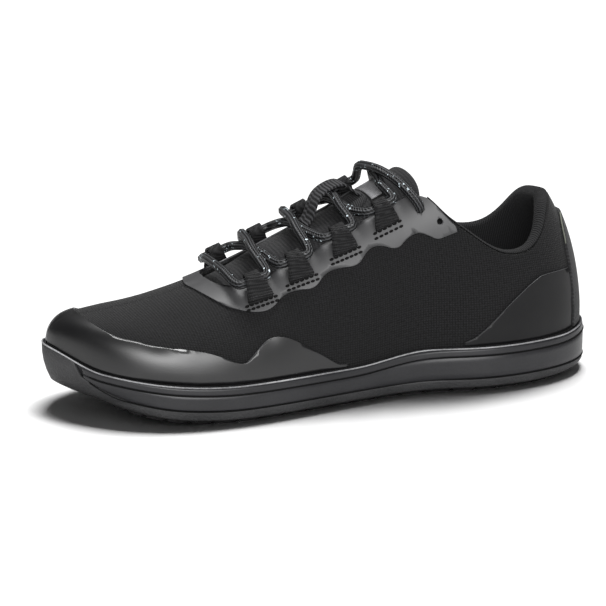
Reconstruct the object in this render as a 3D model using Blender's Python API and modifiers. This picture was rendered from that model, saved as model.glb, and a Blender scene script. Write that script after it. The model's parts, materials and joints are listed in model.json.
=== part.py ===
"""Barefoot shoe, left foot: cup sole, hollow lace-up upper, tongue, collar lining and lacing.

Metres, +Z up. The toe points along -X, the lateral side faces -Y, and the origin lies on the
floor under the middle of the shoe. Every piece is worked out from the sizes below, in the
coordinates of the last: a row number from 0 at the heel to 15 at the toe tip, a share v of
the way up from the sole's rim to the top line, and a height above that surface.
"""
import bisect
import bpy
import bmesh
import functools
import math
import numpy as np
from mathutils import Matrix, Vector

# Driving sizes of the last
LENGTH = 0.280
BALL_WIDTH = 0.094
INSTEP_HEIGHT = 0.1155
HEEL_HEIGHT = 0.093

# Sole
SIDE_HEIGHT = 0.0196
HEEL_LIFT = 0.0039
HEEL_LIP = 0.0016
TOE_LIP = 0.0045
TOE_SPRING = 0.0093
LUG_HEIGHT = 0.0015
LUG_MARGIN = 0.0012
LUG_AREA = 0.00008
OUTSOLE_HEIGHT = 0.0080
CUP_STEP = 0.0008
CUP_SKIN = 0.0012
FOOTBED_HEIGHT = 0.0110
CUP_WALL = 0.0030
LIP_HEIGHT = 0.0040
GROOVE_DEPTH = 0.0006
INSOLE_THICKNESS = 0.0035

# Upper, tongue and collar
UPPER_WALL = 0.0020
FILM = 0.0007
HEEL_STRIP_WALL = 0.0013
TONGUE_THICKNESS = 0.0045
TONGUE_CROWN = 0.0028
LINING_THICKNESS = 0.0022
COLLAR_DROP = 0.030
EYELET_RADIUS = 0.0016

# Lacing
LACE_DIAMETER = 0.0044
WEBBING = 0.0010
LOOP_WIDTH = 0.0125
KEEPER_WIDTH = 0.0130

# Clearances
FIT = 0.0003
SIDE_FIT = 0.0006
LINING_FIT = 0.0006
FILM_FIT = 0.0004
TIP_LIFT = 0.0006
RIM_CLEARANCE = 0.0010

# Outline of the sole by row, from the heel to the toe tip.
# Columns: distance from the heel as a share of LENGTH and distance from the middle line as a
# share of BALL_WIDTH, first on the lateral side, then on the medial side.
OUTLINE = (
    (0.000, 0.000, 0.000, 0.000),
    (0.010, 0.114, 0.010, -0.114),
    (0.040, 0.229, 0.040, -0.229),
    (0.094, 0.322, 0.094, -0.322),
    (0.168, 0.377, 0.168, -0.367),
    (0.255, 0.380, 0.255, -0.353),
    (0.343, 0.326, 0.346, -0.324),
    (0.434, 0.341, 0.437, -0.343),
    (0.524, 0.387, 0.528, -0.405),
    (0.615, 0.435, 0.619, -0.483),
    (0.706, 0.464, 0.710, -0.530),
    (0.794, 0.443, 0.797, -0.536),
    (0.871, 0.362, 0.878, -0.504),
    (0.934, 0.213, 0.942, -0.426),
    (0.979, 0.021, 0.983, -0.301),
    (1.000, -0.151, 1.000, -0.151),
)
TOE_ROW = len(OUTLINE) - 1

# Top line of the closed last by row. The collar and the throat are cut out of it below.
# Columns: along (share of LENGTH), across (share of BALL_WIDTH), height as shares of
# HEEL_HEIGHT and of INSTEP_HEIGHT, then the rib's two handles as shares of its reach,
# at the rim and at the top line, and its lean outwards at the rim.
TOP_LINE = (
    (0.215, 0.000, 0.900, 0.290, 0.44, 0.31, 0.005),
    (0.217, 0.000, 0.900, 0.290, 0.44, 0.31, 0.005),
    (0.222, 0.000, 0.900, 0.290, 0.45, 0.33, 0.015),
    (0.234, -0.005, 0.800, 0.370, 0.47, 0.36, 0.035),
    (0.258, -0.015, 0.400, 0.690, 0.50, 0.40, 0.04),
    (0.302, -0.031, 0.000, 1.000, 0.50, 0.46, 0.02),
    (0.367, -0.042, 0.000, 0.911, 0.50, 0.48, 0.05),
    (0.448, -0.042, 0.000, 0.814, 0.50, 0.50, 0.06),
    (0.538, -0.047, 0.000, 0.712, 0.50, 0.50, 0.05),
    (0.633, -0.057, 0.000, 0.606, 0.50, 0.48, 0.02),
    (0.727, -0.073, 0.000, 0.513, 0.48, 0.48, 0.00),
    (0.818, -0.099, 0.000, 0.449, 0.46, 0.50, 0.00),
    (0.899, -0.120, 0.000, 0.415, 0.46, 0.52, 0.00),
    (0.953, -0.135, 0.000, 0.398, 0.46, 0.50, 0.00),
    (0.980, -0.146, 0.000, 0.356, 0.46, 0.32, 0.00),
    (0.986, -0.151, 0.000, 0.318, 0.46, 0.10, 0.00),
)

# Edge of the collar and of the throat. Columns: row, share v of the rib where the upper ends.
EDGE = (
    (0.0, 0.535), (1.5, 0.533), (2.2, 0.515), (2.6, 0.470), (3.0, 0.400), (3.4, 0.345),
    (3.8, 0.325), (4.2, 0.330), (4.6, 0.365), (5.0, 0.445), (5.4, 0.535), (5.8, 0.735),
    (6.2, 0.790), (7.5, 0.765), (8.5, 0.730), (9.4, 0.710),
)
THROAT_BEND_ROW = 9.40
THROAT_END_ROW = 9.88

# Upper boundary of the toe cap. Columns: row, share v. It crosses the top line at its last row.
TOE_CAP_EDGE = (
    (7.70, 0.020), (8.30, 0.110), (8.70, 0.190), (9.00, 0.245), (9.20, 0.265), (9.40, 0.255),
    (9.60, 0.205), (9.75, 0.155), (9.92, 0.140), (10.22, 0.195), (10.50, 0.245), (11.00, 0.295),
    (11.50, 0.335), (12.00, 0.410), (12.30, 0.480), (12.50, 0.590), (12.62, 0.750), (12.70, 1.000),
)

# Lower boundary of the eyestay. Columns: row, share v. It crosses the top line at its last row.
EYESTAY_EDGE = (
    (5.30, 0.470), (5.70, 0.470), (5.95, 0.520), (6.15, 0.560), (6.35, 0.550), (6.50, 0.510),
    (6.68, 0.520), (6.90, 0.580), (7.12, 0.590), (7.25, 0.550), (7.42, 0.510), (7.65, 0.535),
    (7.90, 0.560), (8.08, 0.540), (8.22, 0.485), (8.40, 0.485), (8.62, 0.520), (8.82, 0.540),
    (9.00, 0.470), (9.20, 0.440), (9.45, 0.460), (9.65, 0.505), (9.88, 0.590), (10.02, 0.680),
    (10.12, 0.800), (10.22, 1.000),
)

# Upper boundary of the heel counter. Columns: row, share v.
COUNTER_EDGE = (
    (2.12, 0.240), (2.95, 0.243), (3.40, 0.235), (3.80, 0.205), (4.30, 0.148), (4.80, 0.078),
    (5.15, 0.035), (5.30, 0.020),
)

# Upper boundary of the heel strip. Columns: row, share v.
HEEL_STRIP_EDGE = (
    (0.00, 0.440), (1.20, 0.435), (1.70, 0.415), (1.95, 0.375), (2.04, 0.320),
)

# Roll of the collar lining. Columns: row, height above the edge, width inwards from the outside.
COLLAR_ROLL = (
    (0.00, 0.0035, 0.0085), (2.00, 0.0035, 0.0085), (3.00, 0.0030, 0.0075),
    (3.80, 0.0022, 0.0060), (4.60, 0.0018, 0.0052), (5.72, 0.0018, 0.0050),
)
COLLAR_END_ROW = 5.72

# Webbing loops of the lacing, from the throat's front end. Columns: row, share v of the base.
LOOPS = ((9.28, 0.520), (8.47, 0.560), (7.58, 0.615), (6.68, 0.650))
LOOP_REACH = 0.0142
# Side view of one folded loop. Columns: share of LOOP_REACH up the rib, height in widths of
# the folded eye, share of LOOP_WIDTH.
LOOP_FOLD = (
    (0.00, 0.00, 1.00), (0.30, 0.00, 0.98), (0.62, 0.00, 0.86), (0.86, 0.12, 0.80),
    (1.00, 0.50, 0.78), (0.90, 0.86, 0.78), (0.72, 1.00, 0.80), (0.52, 0.86, 0.88),
    (0.30, 0.42, 0.96), (0.00, 0.30, 1.00),
)
EYELETS = ((5.95, 0.655), (5.62, 0.550))
# Rows where the two legs of the lace cross over the tongue.
CROSSINGS = (8.92, 8.10, 7.26)
# Side view of the keeper. Columns: row, share of its rise.
KEEPER_PATH = (
    (7.94, 0.00), (7.84, 0.05), (7.68, 0.50), (7.50, 1.00), (7.05, 1.00), (6.96, 0.62),
    (6.88, 0.12), (6.80, 0.00),
)

# Rows of the upper's ribs and shares of their height, kept by every piece that lies on it.
UPPER_ROWS = (0.0, 0.5, 1.0, 1.5, 2.0, 2.5, 3.0, 3.5, 4.0, 4.4, 4.8, 5.1, 5.4, 5.6, 5.7, 5.8, 6.0,
              6.4, 6.9, 7.4, 7.9, 8.4, 8.9, 9.4, 9.64, 9.80, 9.86, 9.88, 10.02, 10.12, 10.22,
              10.8, 11.5, 12.2, 12.5, 12.62, 12.7, 13.2, 13.66, 14.0, 14.35, 14.7, 15.0)
UPPER_SHARES = (0.0, 0.14, 0.32, 0.52, 0.70, 0.86, 1.0)
SOLE_ROWS = (0.0, 0.5, 1.0, 1.5, 2.0, 2.5, 3.0, 3.5, 4.0, 4.5, 5.0, 5.5, 6.0, 6.5, 7.0, 7.5,
             8.0, 8.5, 9.0, 9.5, 10.0, 10.5, 11.0, 11.5, 12.0, 12.5, 13.0, 13.4, 13.5, 13.66,
             14.0, 14.35, 14.7, 15.0)
WRAP_START_ROW = 12.5
WRAP_NOTCH_ROW = 13.4
WRAP_END_ROW = 13.66
INSET = CUP_WALL + SIDE_FIT
TUCK = 0.0020
LATERAL = 1
MEDIAL = -1


def natural_spline(values, at):
    """Cubic spline with straight ends through values at 0, 1, 2 and so on."""
    values = np.asarray(values, float)
    count = len(values)
    system = np.zeros((count, count))
    right = np.zeros_like(values)
    system[0, 0] = system[-1, -1] = 1
    for i in range(1, count - 1):
        system[i, i - 1:i + 2] = 1, 4, 1
        right[i] = 6 * (values[i - 1] - 2 * values[i] + values[i + 1])
    bend = np.linalg.solve(system, right)
    at = min(max(at, 0), count - 1)
    i = min(int(at), count - 2)
    f = at - i
    g = 1 - f
    return g * values[i] + f * values[i + 1] + ((g**3 - g) * bend[i] + (f**3 - f) * bend[i + 1]) / 6


def ring_bends(values):
    """Second differences of the closed cubic spline through values."""
    count = len(values)
    system = np.zeros((count, count))
    right = np.zeros_like(values)
    for i in range(count):
        system[i, i - 1] += 1
        system[i, i] += 4
        system[i, (i + 1) % count] += 1
        right[i] = 6 * (values[i - 1] - 2 * values[i] + values[(i + 1) % count])
    return np.linalg.solve(system, right)


def table(rows, at, column=1):
    """Value of a table at a row number, by a monotone cubic between its rows."""
    keys = [row[0] for row in rows]
    values = [row[column] for row in rows]
    if at <= keys[0]:
        return values[0]
    if at >= keys[-1]:
        return values[-1]
    i = bisect.bisect_right(keys, at) - 1

    def rise(k):
        return (values[k + 1] - values[k]) / (keys[k + 1] - keys[k])

    def slope(k):
        if k == 0 or k == len(keys) - 1:
            return 0.0
        before, after = rise(k - 1), rise(k)
        return 0.0 if before * after <= 0 else 2 * before * after / (before + after)

    span = keys[i + 1] - keys[i]
    f = (at - keys[i]) / span
    return (values[i] * (1 + 2 * f) * (1 - f)**2 + values[i + 1] * f * f * (3 - 2 * f)
            + span * (slope(i) * f * (1 - f)**2 - slope(i + 1) * f * f * (1 - f)))


def smooth(value, low, high):
    """0 below low, 1 above high and a soft step between."""
    f = min(max((value - low) / (high - low), 0), 1)
    return f * f * (3 - 2 * f)


RING = np.array([(row[0] * LENGTH, row[1] * BALL_WIDTH) for row in OUTLINE]
                + [(row[2] * LENGTH, row[3] * BALL_WIDTH) for row in OUTLINE[-2:0:-1]])
RING_BENDS = ring_bends(RING)


def ring_point(number):
    """Point of the sole's outline at a ring number: along, across."""
    i = int(math.floor(number)) % len(RING)
    j = (i + 1) % len(RING)
    f = number - math.floor(number)
    g = 1 - f
    return g * RING[i] + f * RING[j] + ((g**3 - g) * RING_BENDS[i] + (f**3 - f) * RING_BENDS[j]) / 6


def outline(side, row):
    """Point of the sole's outline and its outward normal."""
    number = row if side == LATERAL else len(RING) - row
    step = 1e-3
    point = ring_point(number)
    run = ring_point(number + step) - ring_point(number - step)
    run /= np.linalg.norm(run)
    return point, np.array((-run[1], run[0]))


def spring(along):
    """Height of the sole's underside above the floor."""
    front = max((along - 0.70 * LENGTH) / (0.30 * LENGTH), 0)
    return TOE_SPRING * front**1.7


def rim_height(along):
    """Height of the top of the cup's rim."""
    heel = HEEL_LIFT * (1 - smooth(along, 0.34 * LENGTH, 0.49 * LENGTH))
    back = HEEL_LIP * (1 - smooth(along, 0, 0.08 * LENGTH))
    toe = TOE_LIP * smooth(along, 0.93 * LENGTH, LENGTH)
    return SIDE_HEIGHT + heel + back + toe + spring(along)


def edge(row):
    """Share of a rib where the collar or the throat ends it: 1 in front of the throat."""
    if row >= THROAT_END_ROW:
        return 1.0
    if row <= THROAT_BEND_ROW:
        return table(EDGE, row)
    turn = (row - THROAT_BEND_ROW) / (THROAT_END_ROW - THROAT_BEND_ROW)
    return 1 - (1 - EDGE[-1][1]) * math.sqrt(1 - turn**2)


ACROSS = [ring_point(k / 10)[1] for k in range(10 * len(RING))]
MIDDLE = (min(ACROSS) + max(ACROSS)) / 2


def world(along, across, up):
    return np.array((LENGTH / 2 - along, MIDDLE - across, up))


TOP_POINTS = [(row[0] * LENGTH, row[1] * BALL_WIDTH, row[2] * HEEL_HEIGHT + row[3] * INSTEP_HEIGHT,
               row[4], row[5], row[6]) for row in TOP_LINE]


@functools.lru_cache(maxsize=None)
def rib(side, row):
    """Four control points of the rib at a row, from the rim to the top line."""
    foot, normal = outline(side, row)
    base = foot - normal * INSET
    start = world(base[0], base[1], rim_height(foot[0]) - TUCK)
    values = natural_spline(TOP_POINTS, row)
    end = world(*values[:3])
    reach = np.linalg.norm(end - start)
    outward = np.array((-normal[0], -normal[1], 0))
    rise = np.array((0, 0, 1)) + outward * values[5]
    turn = smooth(row, 2, 5) * smooth(TOE_ROW - row, 0, 0.8)
    radial = (start - end) * (1, 1, 0)
    radial /= np.linalg.norm(radial)
    sideways = np.array((0, -side, 0)) * turn + radial * (1 - turn)
    return start, start + rise * reach * values[3], end + sideways * reach * values[4], end


def surface(side, row, v):
    """Point of the closed last."""
    a, b, c, d = rib(side, row)
    u = 1 - v
    return u**3 * a + 3 * u * u * v * b + 3 * u * v * v * c + v**3 * d


def normal_at(side, row, v):
    """Outward normal of the last."""
    step = 0.02
    if row < step or row > TOE_ROW - step:
        v = min(v, 0.97)
    before = surface(side, row - step, v) if row >= step else surface(-side, step, v)
    after = surface(side, row + step, v) if row <= TOE_ROW - step else surface(-side, TOE_ROW - step, v)
    a, b, c, d = rib(side, row)
    u = 1 - v
    upward = u * u * (b - a) + 2 * u * v * (c - b) + v * v * (d - c)
    found = np.cross(upward, after - before) * side
    return found / np.linalg.norm(found)


def above(side, row, v, height):
    """Point at a height above the last, or inside it where height is below 0."""
    return surface(side, row, v) + normal_at(side, row, v) * height


def rib_length(side, row):
    points = [surface(side, row, k / 12) for k in range(13)]
    return sum(np.linalg.norm(b - a) for a, b in zip(points, points[1:]))


def upper_grid(side):
    """Points and normals of the upper's outer face at its ribs."""
    points, normals = [], []
    for row in UPPER_ROWS:
        shares = [share * edge(row) for share in UPPER_SHARES]
        points.append([surface(side, row, v) for v in shares])
        normals.append([normal_at(side, row, v) for v in shares])
    return np.array(points), np.array(normals)


GRIDS = {side: upper_grid(side) for side in (LATERAL, MEDIAL)}


def on_upper(side, row, v, height):
    """Point above the upper as it is faceted, so that a thin piece keeps its gap everywhere."""
    points, normals = GRIDS[side]
    share = min(v / edge(row), 1)
    i = min(max(bisect.bisect_right(UPPER_ROWS, row) - 1, 0), len(UPPER_ROWS) - 2)
    j = min(max(bisect.bisect_right(UPPER_SHARES, share) - 1, 0), len(UPPER_SHARES) - 2)
    f = (row - UPPER_ROWS[i]) / (UPPER_ROWS[i + 1] - UPPER_ROWS[i])
    g = (share - UPPER_SHARES[j]) / (UPPER_SHARES[j + 1] - UPPER_SHARES[j])
    blends = (((1 - f) * (1 - g), i, j), (f * (1 - g), i + 1, j),
              ((1 - f) * g, i, j + 1), (f * g, i + 1, j + 1))
    point = sum(share_of * points[a][b] for share_of, a, b in blends)
    normal = sum(share_of * normals[a][b] for share_of, a, b in blends)
    return point + normal / np.linalg.norm(normal) * height


# Collections, materials and mesh helpers

for old in list(bpy.data.objects):
    bpy.data.objects.remove(old)
PARTS = bpy.data.collections.new("barefoot_shoe")
CUTTERS = bpy.data.collections.new("cutters")
bpy.context.scene.collection.children.link(PARTS)
bpy.context.scene.collection.children.link(CUTTERS)


def material(name, colour, roughness):
    made = bpy.data.materials.new(name)
    made.use_nodes = True
    shader = made.node_tree.nodes["Principled BSDF"]
    shader.inputs["Base Color"].default_value = (*colour, 1)
    shader.inputs["Roughness"].default_value = roughness
    return made


RUBBER = material("sole_rubber", (0.050, 0.050, 0.052), 0.65)
FOAM = material("midsole_foam", (0.055, 0.055, 0.057), 0.60)
FABRIC = material("upper_fabric", (0.028, 0.028, 0.030), 0.85)
KNIT = material("collar_knit", (0.030, 0.030, 0.032), 0.90)
TPU = material("overlay_film", (0.090, 0.090, 0.093), 0.40)
WEB = material("webbing", (0.025, 0.025, 0.027), 0.80)
CORD = material("lace_cord", (0.020, 0.020, 0.022), 0.75)
FOOTBED = material("insole_textile", (0.040, 0.040, 0.042), 0.90)


def add_object(name, mesh, finish):
    made = bpy.data.objects.new(name, mesh)
    made.data.materials.append(finish)
    PARTS.objects.link(made)
    return made


def object_from(name, form, finish):
    """Object from a bmesh, with coincident points merged."""
    bmesh.ops.remove_doubles(form, verts=form.verts, dist=1e-6)
    mesh = bpy.data.meshes.new(name)
    form.to_mesh(mesh)
    form.free()
    mesh.shade_smooth()
    return add_object(name, mesh, finish)


def add_grid(form, columns, turned):
    """Quads between columns of points, facing the other way where turned is true."""
    grid = [[form.verts.new(point) for point in column] for column in columns]
    for left, right in zip(grid, grid[1:]):
        for k in range(len(left) - 1):
            corners = [left[k], left[k + 1], right[k + 1], right[k]]
            if turned:
                corners.reverse()
            form.faces.new(corners)
    return grid


def solidify(made, thickness, offset):
    change = made.modifiers.new("wall", "SOLIDIFY")
    change.thickness = thickness
    change.offset = offset
    change.use_even_offset = True


def shell(name, sides, columns_of, thickness, offset, finish):
    """Thin piece: one grid for each side, joined where they meet, with a wall."""
    form = bmesh.new()
    for side in sides:
        add_grid(form, columns_of(side), side == MEDIAL)
    made = object_from(name, form, finish)
    solidify(made, thickness, offset)
    return made


def film(name, sides, rows, low, high, finish=TPU, thickness=FILM, tip_row=TOE_ROW):
    """Overlay on the upper between two boundaries, both given as functions of the row.

    It keeps the upper's own shares between them; those beyond a boundary fall together on it.
    Beyond tip_row the piece narrows to a point and lies a little higher.
    """
    def columns_of(side):
        columns = []
        for row in rows:
            under, over = low(side, row), high(side, row)
            shares = [min(max(share * edge(row), under), over) for share in UPPER_SHARES]
            shares[0], shares[-1] = under, over
            fit = FILM_FIT + (TIP_LIFT if row > tip_row else 0)
            columns.append([on_upper(side, row, v, fit) for v in shares])
        return columns
    return shell(name, sides, columns_of, thickness, 1, finish)


# Sole

def footbed(along):
    return FOOTBED_HEIGHT + spring(along)


def parting(row, along):
    """Height of the joint between outsole and midsole: it sweeps up to the rim at the toe."""
    low = OUTSOLE_HEIGHT + spring(along)
    shoulder = rim_height(along) - LIP_HEIGHT - 0.0012
    crest = rim_height(along) - 0.0002
    height = low + (shoulder - low) * smooth(row, WRAP_START_ROW, WRAP_NOTCH_ROW + 0.3)
    return height if row < WRAP_END_ROW else crest


def sole_section(side, row, profile):
    """World points of a profile of inset and height pairs at one row of the outline."""
    point, normal = outline(side, row)
    placed = []
    for inset, height in profile:
        flat = point - normal * inset
        placed.append(world(flat[0], flat[1], height))
    return placed


def outsole_profile(side, row):
    along = outline(side, row)[0][0]
    lift = spring(along)
    joint = parting(row, along)
    ends = 1 + 0.35 * (1 - smooth(row, 0, 4)) + 0.3 * smooth(row, 11, 14)
    tuck = 0.0008 * smooth(row, WRAP_NOTCH_ROW, TOE_ROW)
    return (
        (0.0062 * ends, LUG_HEIGHT + lift),
        (0.0026 * ends, LUG_HEIGHT + 0.0009 * ends + lift),
        (0.0009 * ends, 0.0036 * ends + lift),
        (0.0002, 0.0058 + lift),
        (tuck, joint - 0.0005),
        (tuck + 0.0003, joint),
        (CUP_SKIN, joint),
        (CUP_SKIN, OUTSOLE_HEIGHT - CUP_STEP + lift),
    )


def midsole_profile(side, row):
    along = outline(side, row)[0][0]
    rim = rim_height(along)
    groove = rim - LIP_HEIGHT
    joint = parting(row, along) + FIT
    recess = CUP_SKIN + FIT
    floor = OUTSOLE_HEIGHT - CUP_STEP + FIT + spring(along)
    wall = [
        (0.0003, joint),
        (0.0, joint + 0.0005),
        (0.0, groove - 0.0005),
        (GROOVE_DEPTH, groove),
        (0.0001, groove + 0.0005),
        (0.0004, rim - 0.0010),
        (0.0012, rim - 0.0001),
    ]
    if row > WRAP_NOTCH_ROW:
        start = min(joint, rim - 0.0014)
        wall = [(recess, start + (k + 1) * (rim - 0.0002 - start) / 8) for k in range(7)]
        joint = start
    return [(recess, floor), (recess, joint), *wall, (0.0022, rim - 0.0001),
            (CUP_WALL, rim - 0.0007), (CUP_WALL, footbed(along))]


def add_cap(form, lateral, medial, cells, up):
    """Flat cap between the two sides of a ring, facing up or down."""
    lines = []
    for left, right in zip(lateral, medial):
        lines.append([left + (right - left) * k / cells for k in range(cells + 1)])
    add_grid(form, lines, not up)


def cup(profile_of, bottom_cells, top_cells):
    """Closed body: one profile all round the outline and a cap across each end of it."""
    form = bmesh.new()
    sections = {side: [sole_section(side, row, profile_of(side, row)) for row in SOLE_ROWS]
                for side in (LATERAL, MEDIAL)}
    for side in (LATERAL, MEDIAL):
        add_grid(form, sections[side], side == MEDIAL)
    for end, cells, up in ((0, bottom_cells, False), (-1, top_cells, True)):
        add_cap(form, [s[end] for s in sections[LATERAL]], [s[end] for s in sections[MEDIAL]],
                cells, up)
    bmesh.ops.remove_doubles(form, verts=form.verts, dist=1e-6)
    return form


def outsole():
    form = cup(outsole_profile, 3, 1)
    form.normal_update()
    pads = [face for face in form.faces
            if face.normal.z < -0.9 and len(face.verts) == 4 and face.calc_area() > LUG_AREA]
    bmesh.ops.inset_individual(form, faces=pads, thickness=LUG_MARGIN, depth=LUG_HEIGHT,
                               use_even_offset=True)
    return object_from("outsole", form, RUBBER)


def midsole():
    form = cup(midsole_profile, 1, 1)
    return object_from("midsole", form, FOAM)


def insole():
    def profile(side, row):
        base = footbed(outline(side, row)[0][0]) + FIT
        inset = INSET + UPPER_WALL + SIDE_FIT
        return ((inset, base), (inset, base + INSOLE_THICKNESS * 0.8),
                (inset + 0.0015, base + INSOLE_THICKNESS))
    form = cup(profile, 1, 1)
    return object_from("insole", form, FOOTBED)


# Upper, its overlays, tongue and collar

def upper():
    def columns_of(side):
        columns = []
        for i, row in enumerate(UPPER_ROWS):
            points = list(GRIDS[side][0][i])
            bottom = points[0].copy()
            bottom[2] = footbed(outline(side, row)[0][0]) + FIT
            columns.append([bottom] + points)
        return columns
    made = shell("upper", (LATERAL, MEDIAL), columns_of, UPPER_WALL, -1, FABRIC)
    return made


def rows_between(low, high, rows):
    """The upper's own rows between two limits, and a boundary's rows that are clear of them."""
    found = {low, high}
    found.update(row for row in UPPER_ROWS if low + 0.02 < row < high - 0.02)
    for row in rows:
        if low < row < high and all(abs(row - other) > 0.09 for other in found):
            found.add(row)
    return sorted(found)


def rim_share(side, row):
    """Share v just clear of the sole's rim."""
    foot = outline(side, row)[0]
    target = rim_height(foot[0]) + RIM_CLEARANCE
    low, high = 0.0, 0.6
    for _ in range(20):
        middle = (low + high) / 2
        if surface(side, row, middle)[2] < target:
            low = middle
        else:
            high = middle
    return high


def toe_cap():
    rows = rows_between(TOE_CAP_EDGE[0][0], TOE_ROW, [row[0] for row in TOE_CAP_EDGE])

    def high(side, row):
        if row >= TOE_CAP_EDGE[-1][0]:
            return 1.0
        return max(table(TOE_CAP_EDGE, row), rim_share(side, row) + 0.012)
    return film("toe_cap", (LATERAL, MEDIAL), rows, rim_share, high)


def eyestay():
    rows = rows_between(EYESTAY_EDGE[0][0], EYESTAY_EDGE[-1][0], [row[0] for row in EYESTAY_EDGE])
    top = 0.985

    def low(side, row):
        return min(table(EYESTAY_EDGE, row), edge(row) * top - 0.004)

    def high(side, row):
        return 1.0 if row >= THROAT_END_ROW else edge(row) * top
    return film("eyestay", (LATERAL, MEDIAL), rows, low, high, tip_row=THROAT_END_ROW)


def heel_counter(name, side):
    rows = rows_between(COUNTER_EDGE[0][0], COUNTER_EDGE[-1][0], [row[0] for row in COUNTER_EDGE])

    def high(which, row):
        return max(table(COUNTER_EDGE, row), rim_share(which, row) + 0.012)
    return film(name, (side,), rows, rim_share, high)


def heel_strip():
    rows = rows_between(0.0, HEEL_STRIP_EDGE[-1][0], [row[0] for row in HEEL_STRIP_EDGE])

    def high(side, row):
        return table(HEEL_STRIP_EDGE, row)
    return film("heel_strip", (LATERAL, MEDIAL), rows, rim_share, high, FABRIC, HEEL_STRIP_WALL)


TONGUE_END_ROW = 5.72
TONGUE_SHARES = (0.0, 0.34, 0.55, 0.78, 1.0)
TONGUE_ROWS = (5.72, 5.86, 6.0, 6.4, 6.9, 7.4, 7.9, 8.4, 8.9, 9.4, 9.76, 10.2)


def tongue_point(side, row, share):
    """Point of the tongue's top face: share 0 at its side under the upper, 1 at its middle."""
    corner = 0.26 * (1 - share)**2 * (1 - smooth(row, TONGUE_END_ROW, 6.6))
    row = row + corner
    throat = min(edge(row), 0.80)
    low = throat - 0.10
    v = low + (1 - low) * share
    sunk = -(UPPER_WALL + LINING_FIT)
    swell = TONGUE_CROWN * smooth(v, throat, throat + 0.14) * (1 - smooth(row, 8.9, 9.5))
    padding = 0.0005 * (1 - smooth(row, 5.8, 7.0)) * smooth(v, throat, 1)
    return above(side, row, v, sunk + swell + padding)


def tongue():
    def columns_of(side):
        return [[tongue_point(side, row, share) for share in TONGUE_SHARES] for row in TONGUE_ROWS]
    return shell("tongue", (LATERAL, MEDIAL), columns_of, TONGUE_THICKNESS, -1, FABRIC)


def tongue_patch(name, low_row, high_row, low_share, thickness):
    """Thin patch on the tongue's middle, as wide as low_share leaves it."""
    rows = [row for row in TONGUE_ROWS if low_row + 0.05 < row < high_row - 0.05]
    rows = [low_row, *rows, high_row]

    def columns_of(side):
        columns = []
        for row in rows:
            below = max(k for k in TONGUE_ROWS if k <= row)
            beyond = min(k for k in TONGUE_ROWS if k >= row)
            f = 0 if below == beyond else (row - below) / (beyond - below)
            column = []
            for share in (low_share, 0.78, 1.0):
                a = tongue_point(side, below, share)
                b = tongue_point(side, beyond, share)
                lift = normal_at(side, row, 1.0) * FIT
                column.append(a + (b - a) * f + lift)
            columns.append(column)
        return columns
    return shell(name, (LATERAL, MEDIAL), columns_of, thickness, 1, TPU)


def collar_lining():
    """Padded lining inside the heel: a roll over the upper's edge and a flap down inside it."""
    form = bmesh.new()
    inner = UPPER_WALL + LINING_FIT
    rows = [row for row in UPPER_ROWS if row < COLLAR_END_ROW] + [COLLAR_END_ROW]
    sections = []
    for side, order in ((LATERAL, rows[::-1]), (MEDIAL, rows[1:])):
        for row in order:
            height, width = table(COLLAR_ROLL, row, 1), table(COLLAR_ROLL, row, 2)
            length = rib_length(side, row)
            drop = min(COLLAR_DROP, 0.55 * edge(row) * length)
            profile = (
                (inner, -drop), (inner, -0.4 * drop), (inner, FIT),
                (0.0002, FIT), (-0.0002, 0.4 * height), (0.20 * width, 0.88 * height),
                (0.50 * width, height), (0.82 * width, 0.72 * height), (width, 0.0),
                (max(0.86 * width, inner + LINING_THICKNESS), -0.30 * drop),
                (inner + LINING_THICKNESS, -drop),
            )
            section = []
            for inward, up in profile:
                point = on_upper(side, row, edge(row) + min(up, 0) / length, -inward)
                beyond = surface(side, row, edge(row) + max(up, 0) / length)
                section.append(point + beyond - surface(side, row, edge(row)))
            sections.append(section)
    rings = [[form.verts.new(point) for point in section] for section in sections]
    count = len(rings[0])
    for left, right in zip(rings, rings[1:]):
        for k in range(count):
            form.faces.new((left[k], left[(k + 1) % count], right[(k + 1) % count], right[k]))
    form.faces.new(rings[0])
    form.faces.new(rings[-1][::-1])
    bmesh.ops.recalc_face_normals(form, faces=form.faces)
    return object_from("collar_lining", form, KNIT)


# Lacing

LOOP_BASE = FIT + FILM + FIT + 0.0003 + WEBBING / 2
EYE_HEIGHT = LACE_DIAMETER + 0.0030 + WEBBING
LOWER_LEVEL = TONGUE_CROWN - UPPER_WALL + LACE_DIAMETER / 2 + 0.0008
UPPER_LEVEL = LOWER_LEVEL + LACE_DIAMETER + 0.0004
END_LEVEL = FILM_FIT + FILM + FIT + LACE_DIAMETER / 2


def lace_loop(name, side, row, base):
    """Webbing folded over and stitched down at its base, with an eye for the lace."""
    length = rib_length(side, row)
    along = np.linalg.norm(surface(side, row + 0.05, base) - surface(side, row - 0.05, base)) / 0.1
    columns = []
    for across in (-0.5, 0.5):
        column = []
        for reach, height, share in LOOP_FOLD:
            v = base + reach * LOOP_REACH / length
            at = row + across * share * LOOP_WIDTH / along
            column.append(above(side, at, v, LOOP_BASE + height * EYE_HEIGHT))
        columns.append(column)
    form = bmesh.new()
    add_grid(form, columns, side == MEDIAL)
    made = object_from(name, form, WEB)
    solidify(made, WEBBING, 0)


def through_eye(side, number):
    """Points of the lace inside one loop's eye, from its front to its rear."""
    row, base = LOOPS[number]
    v = base + 0.75 * LOOP_REACH / rib_length(side, row)
    level = LOOP_BASE + 0.52 * EYE_HEIGHT
    return [(row + shift, v, side, level) for shift in (0.27, 0.0, -0.27)]


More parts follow.
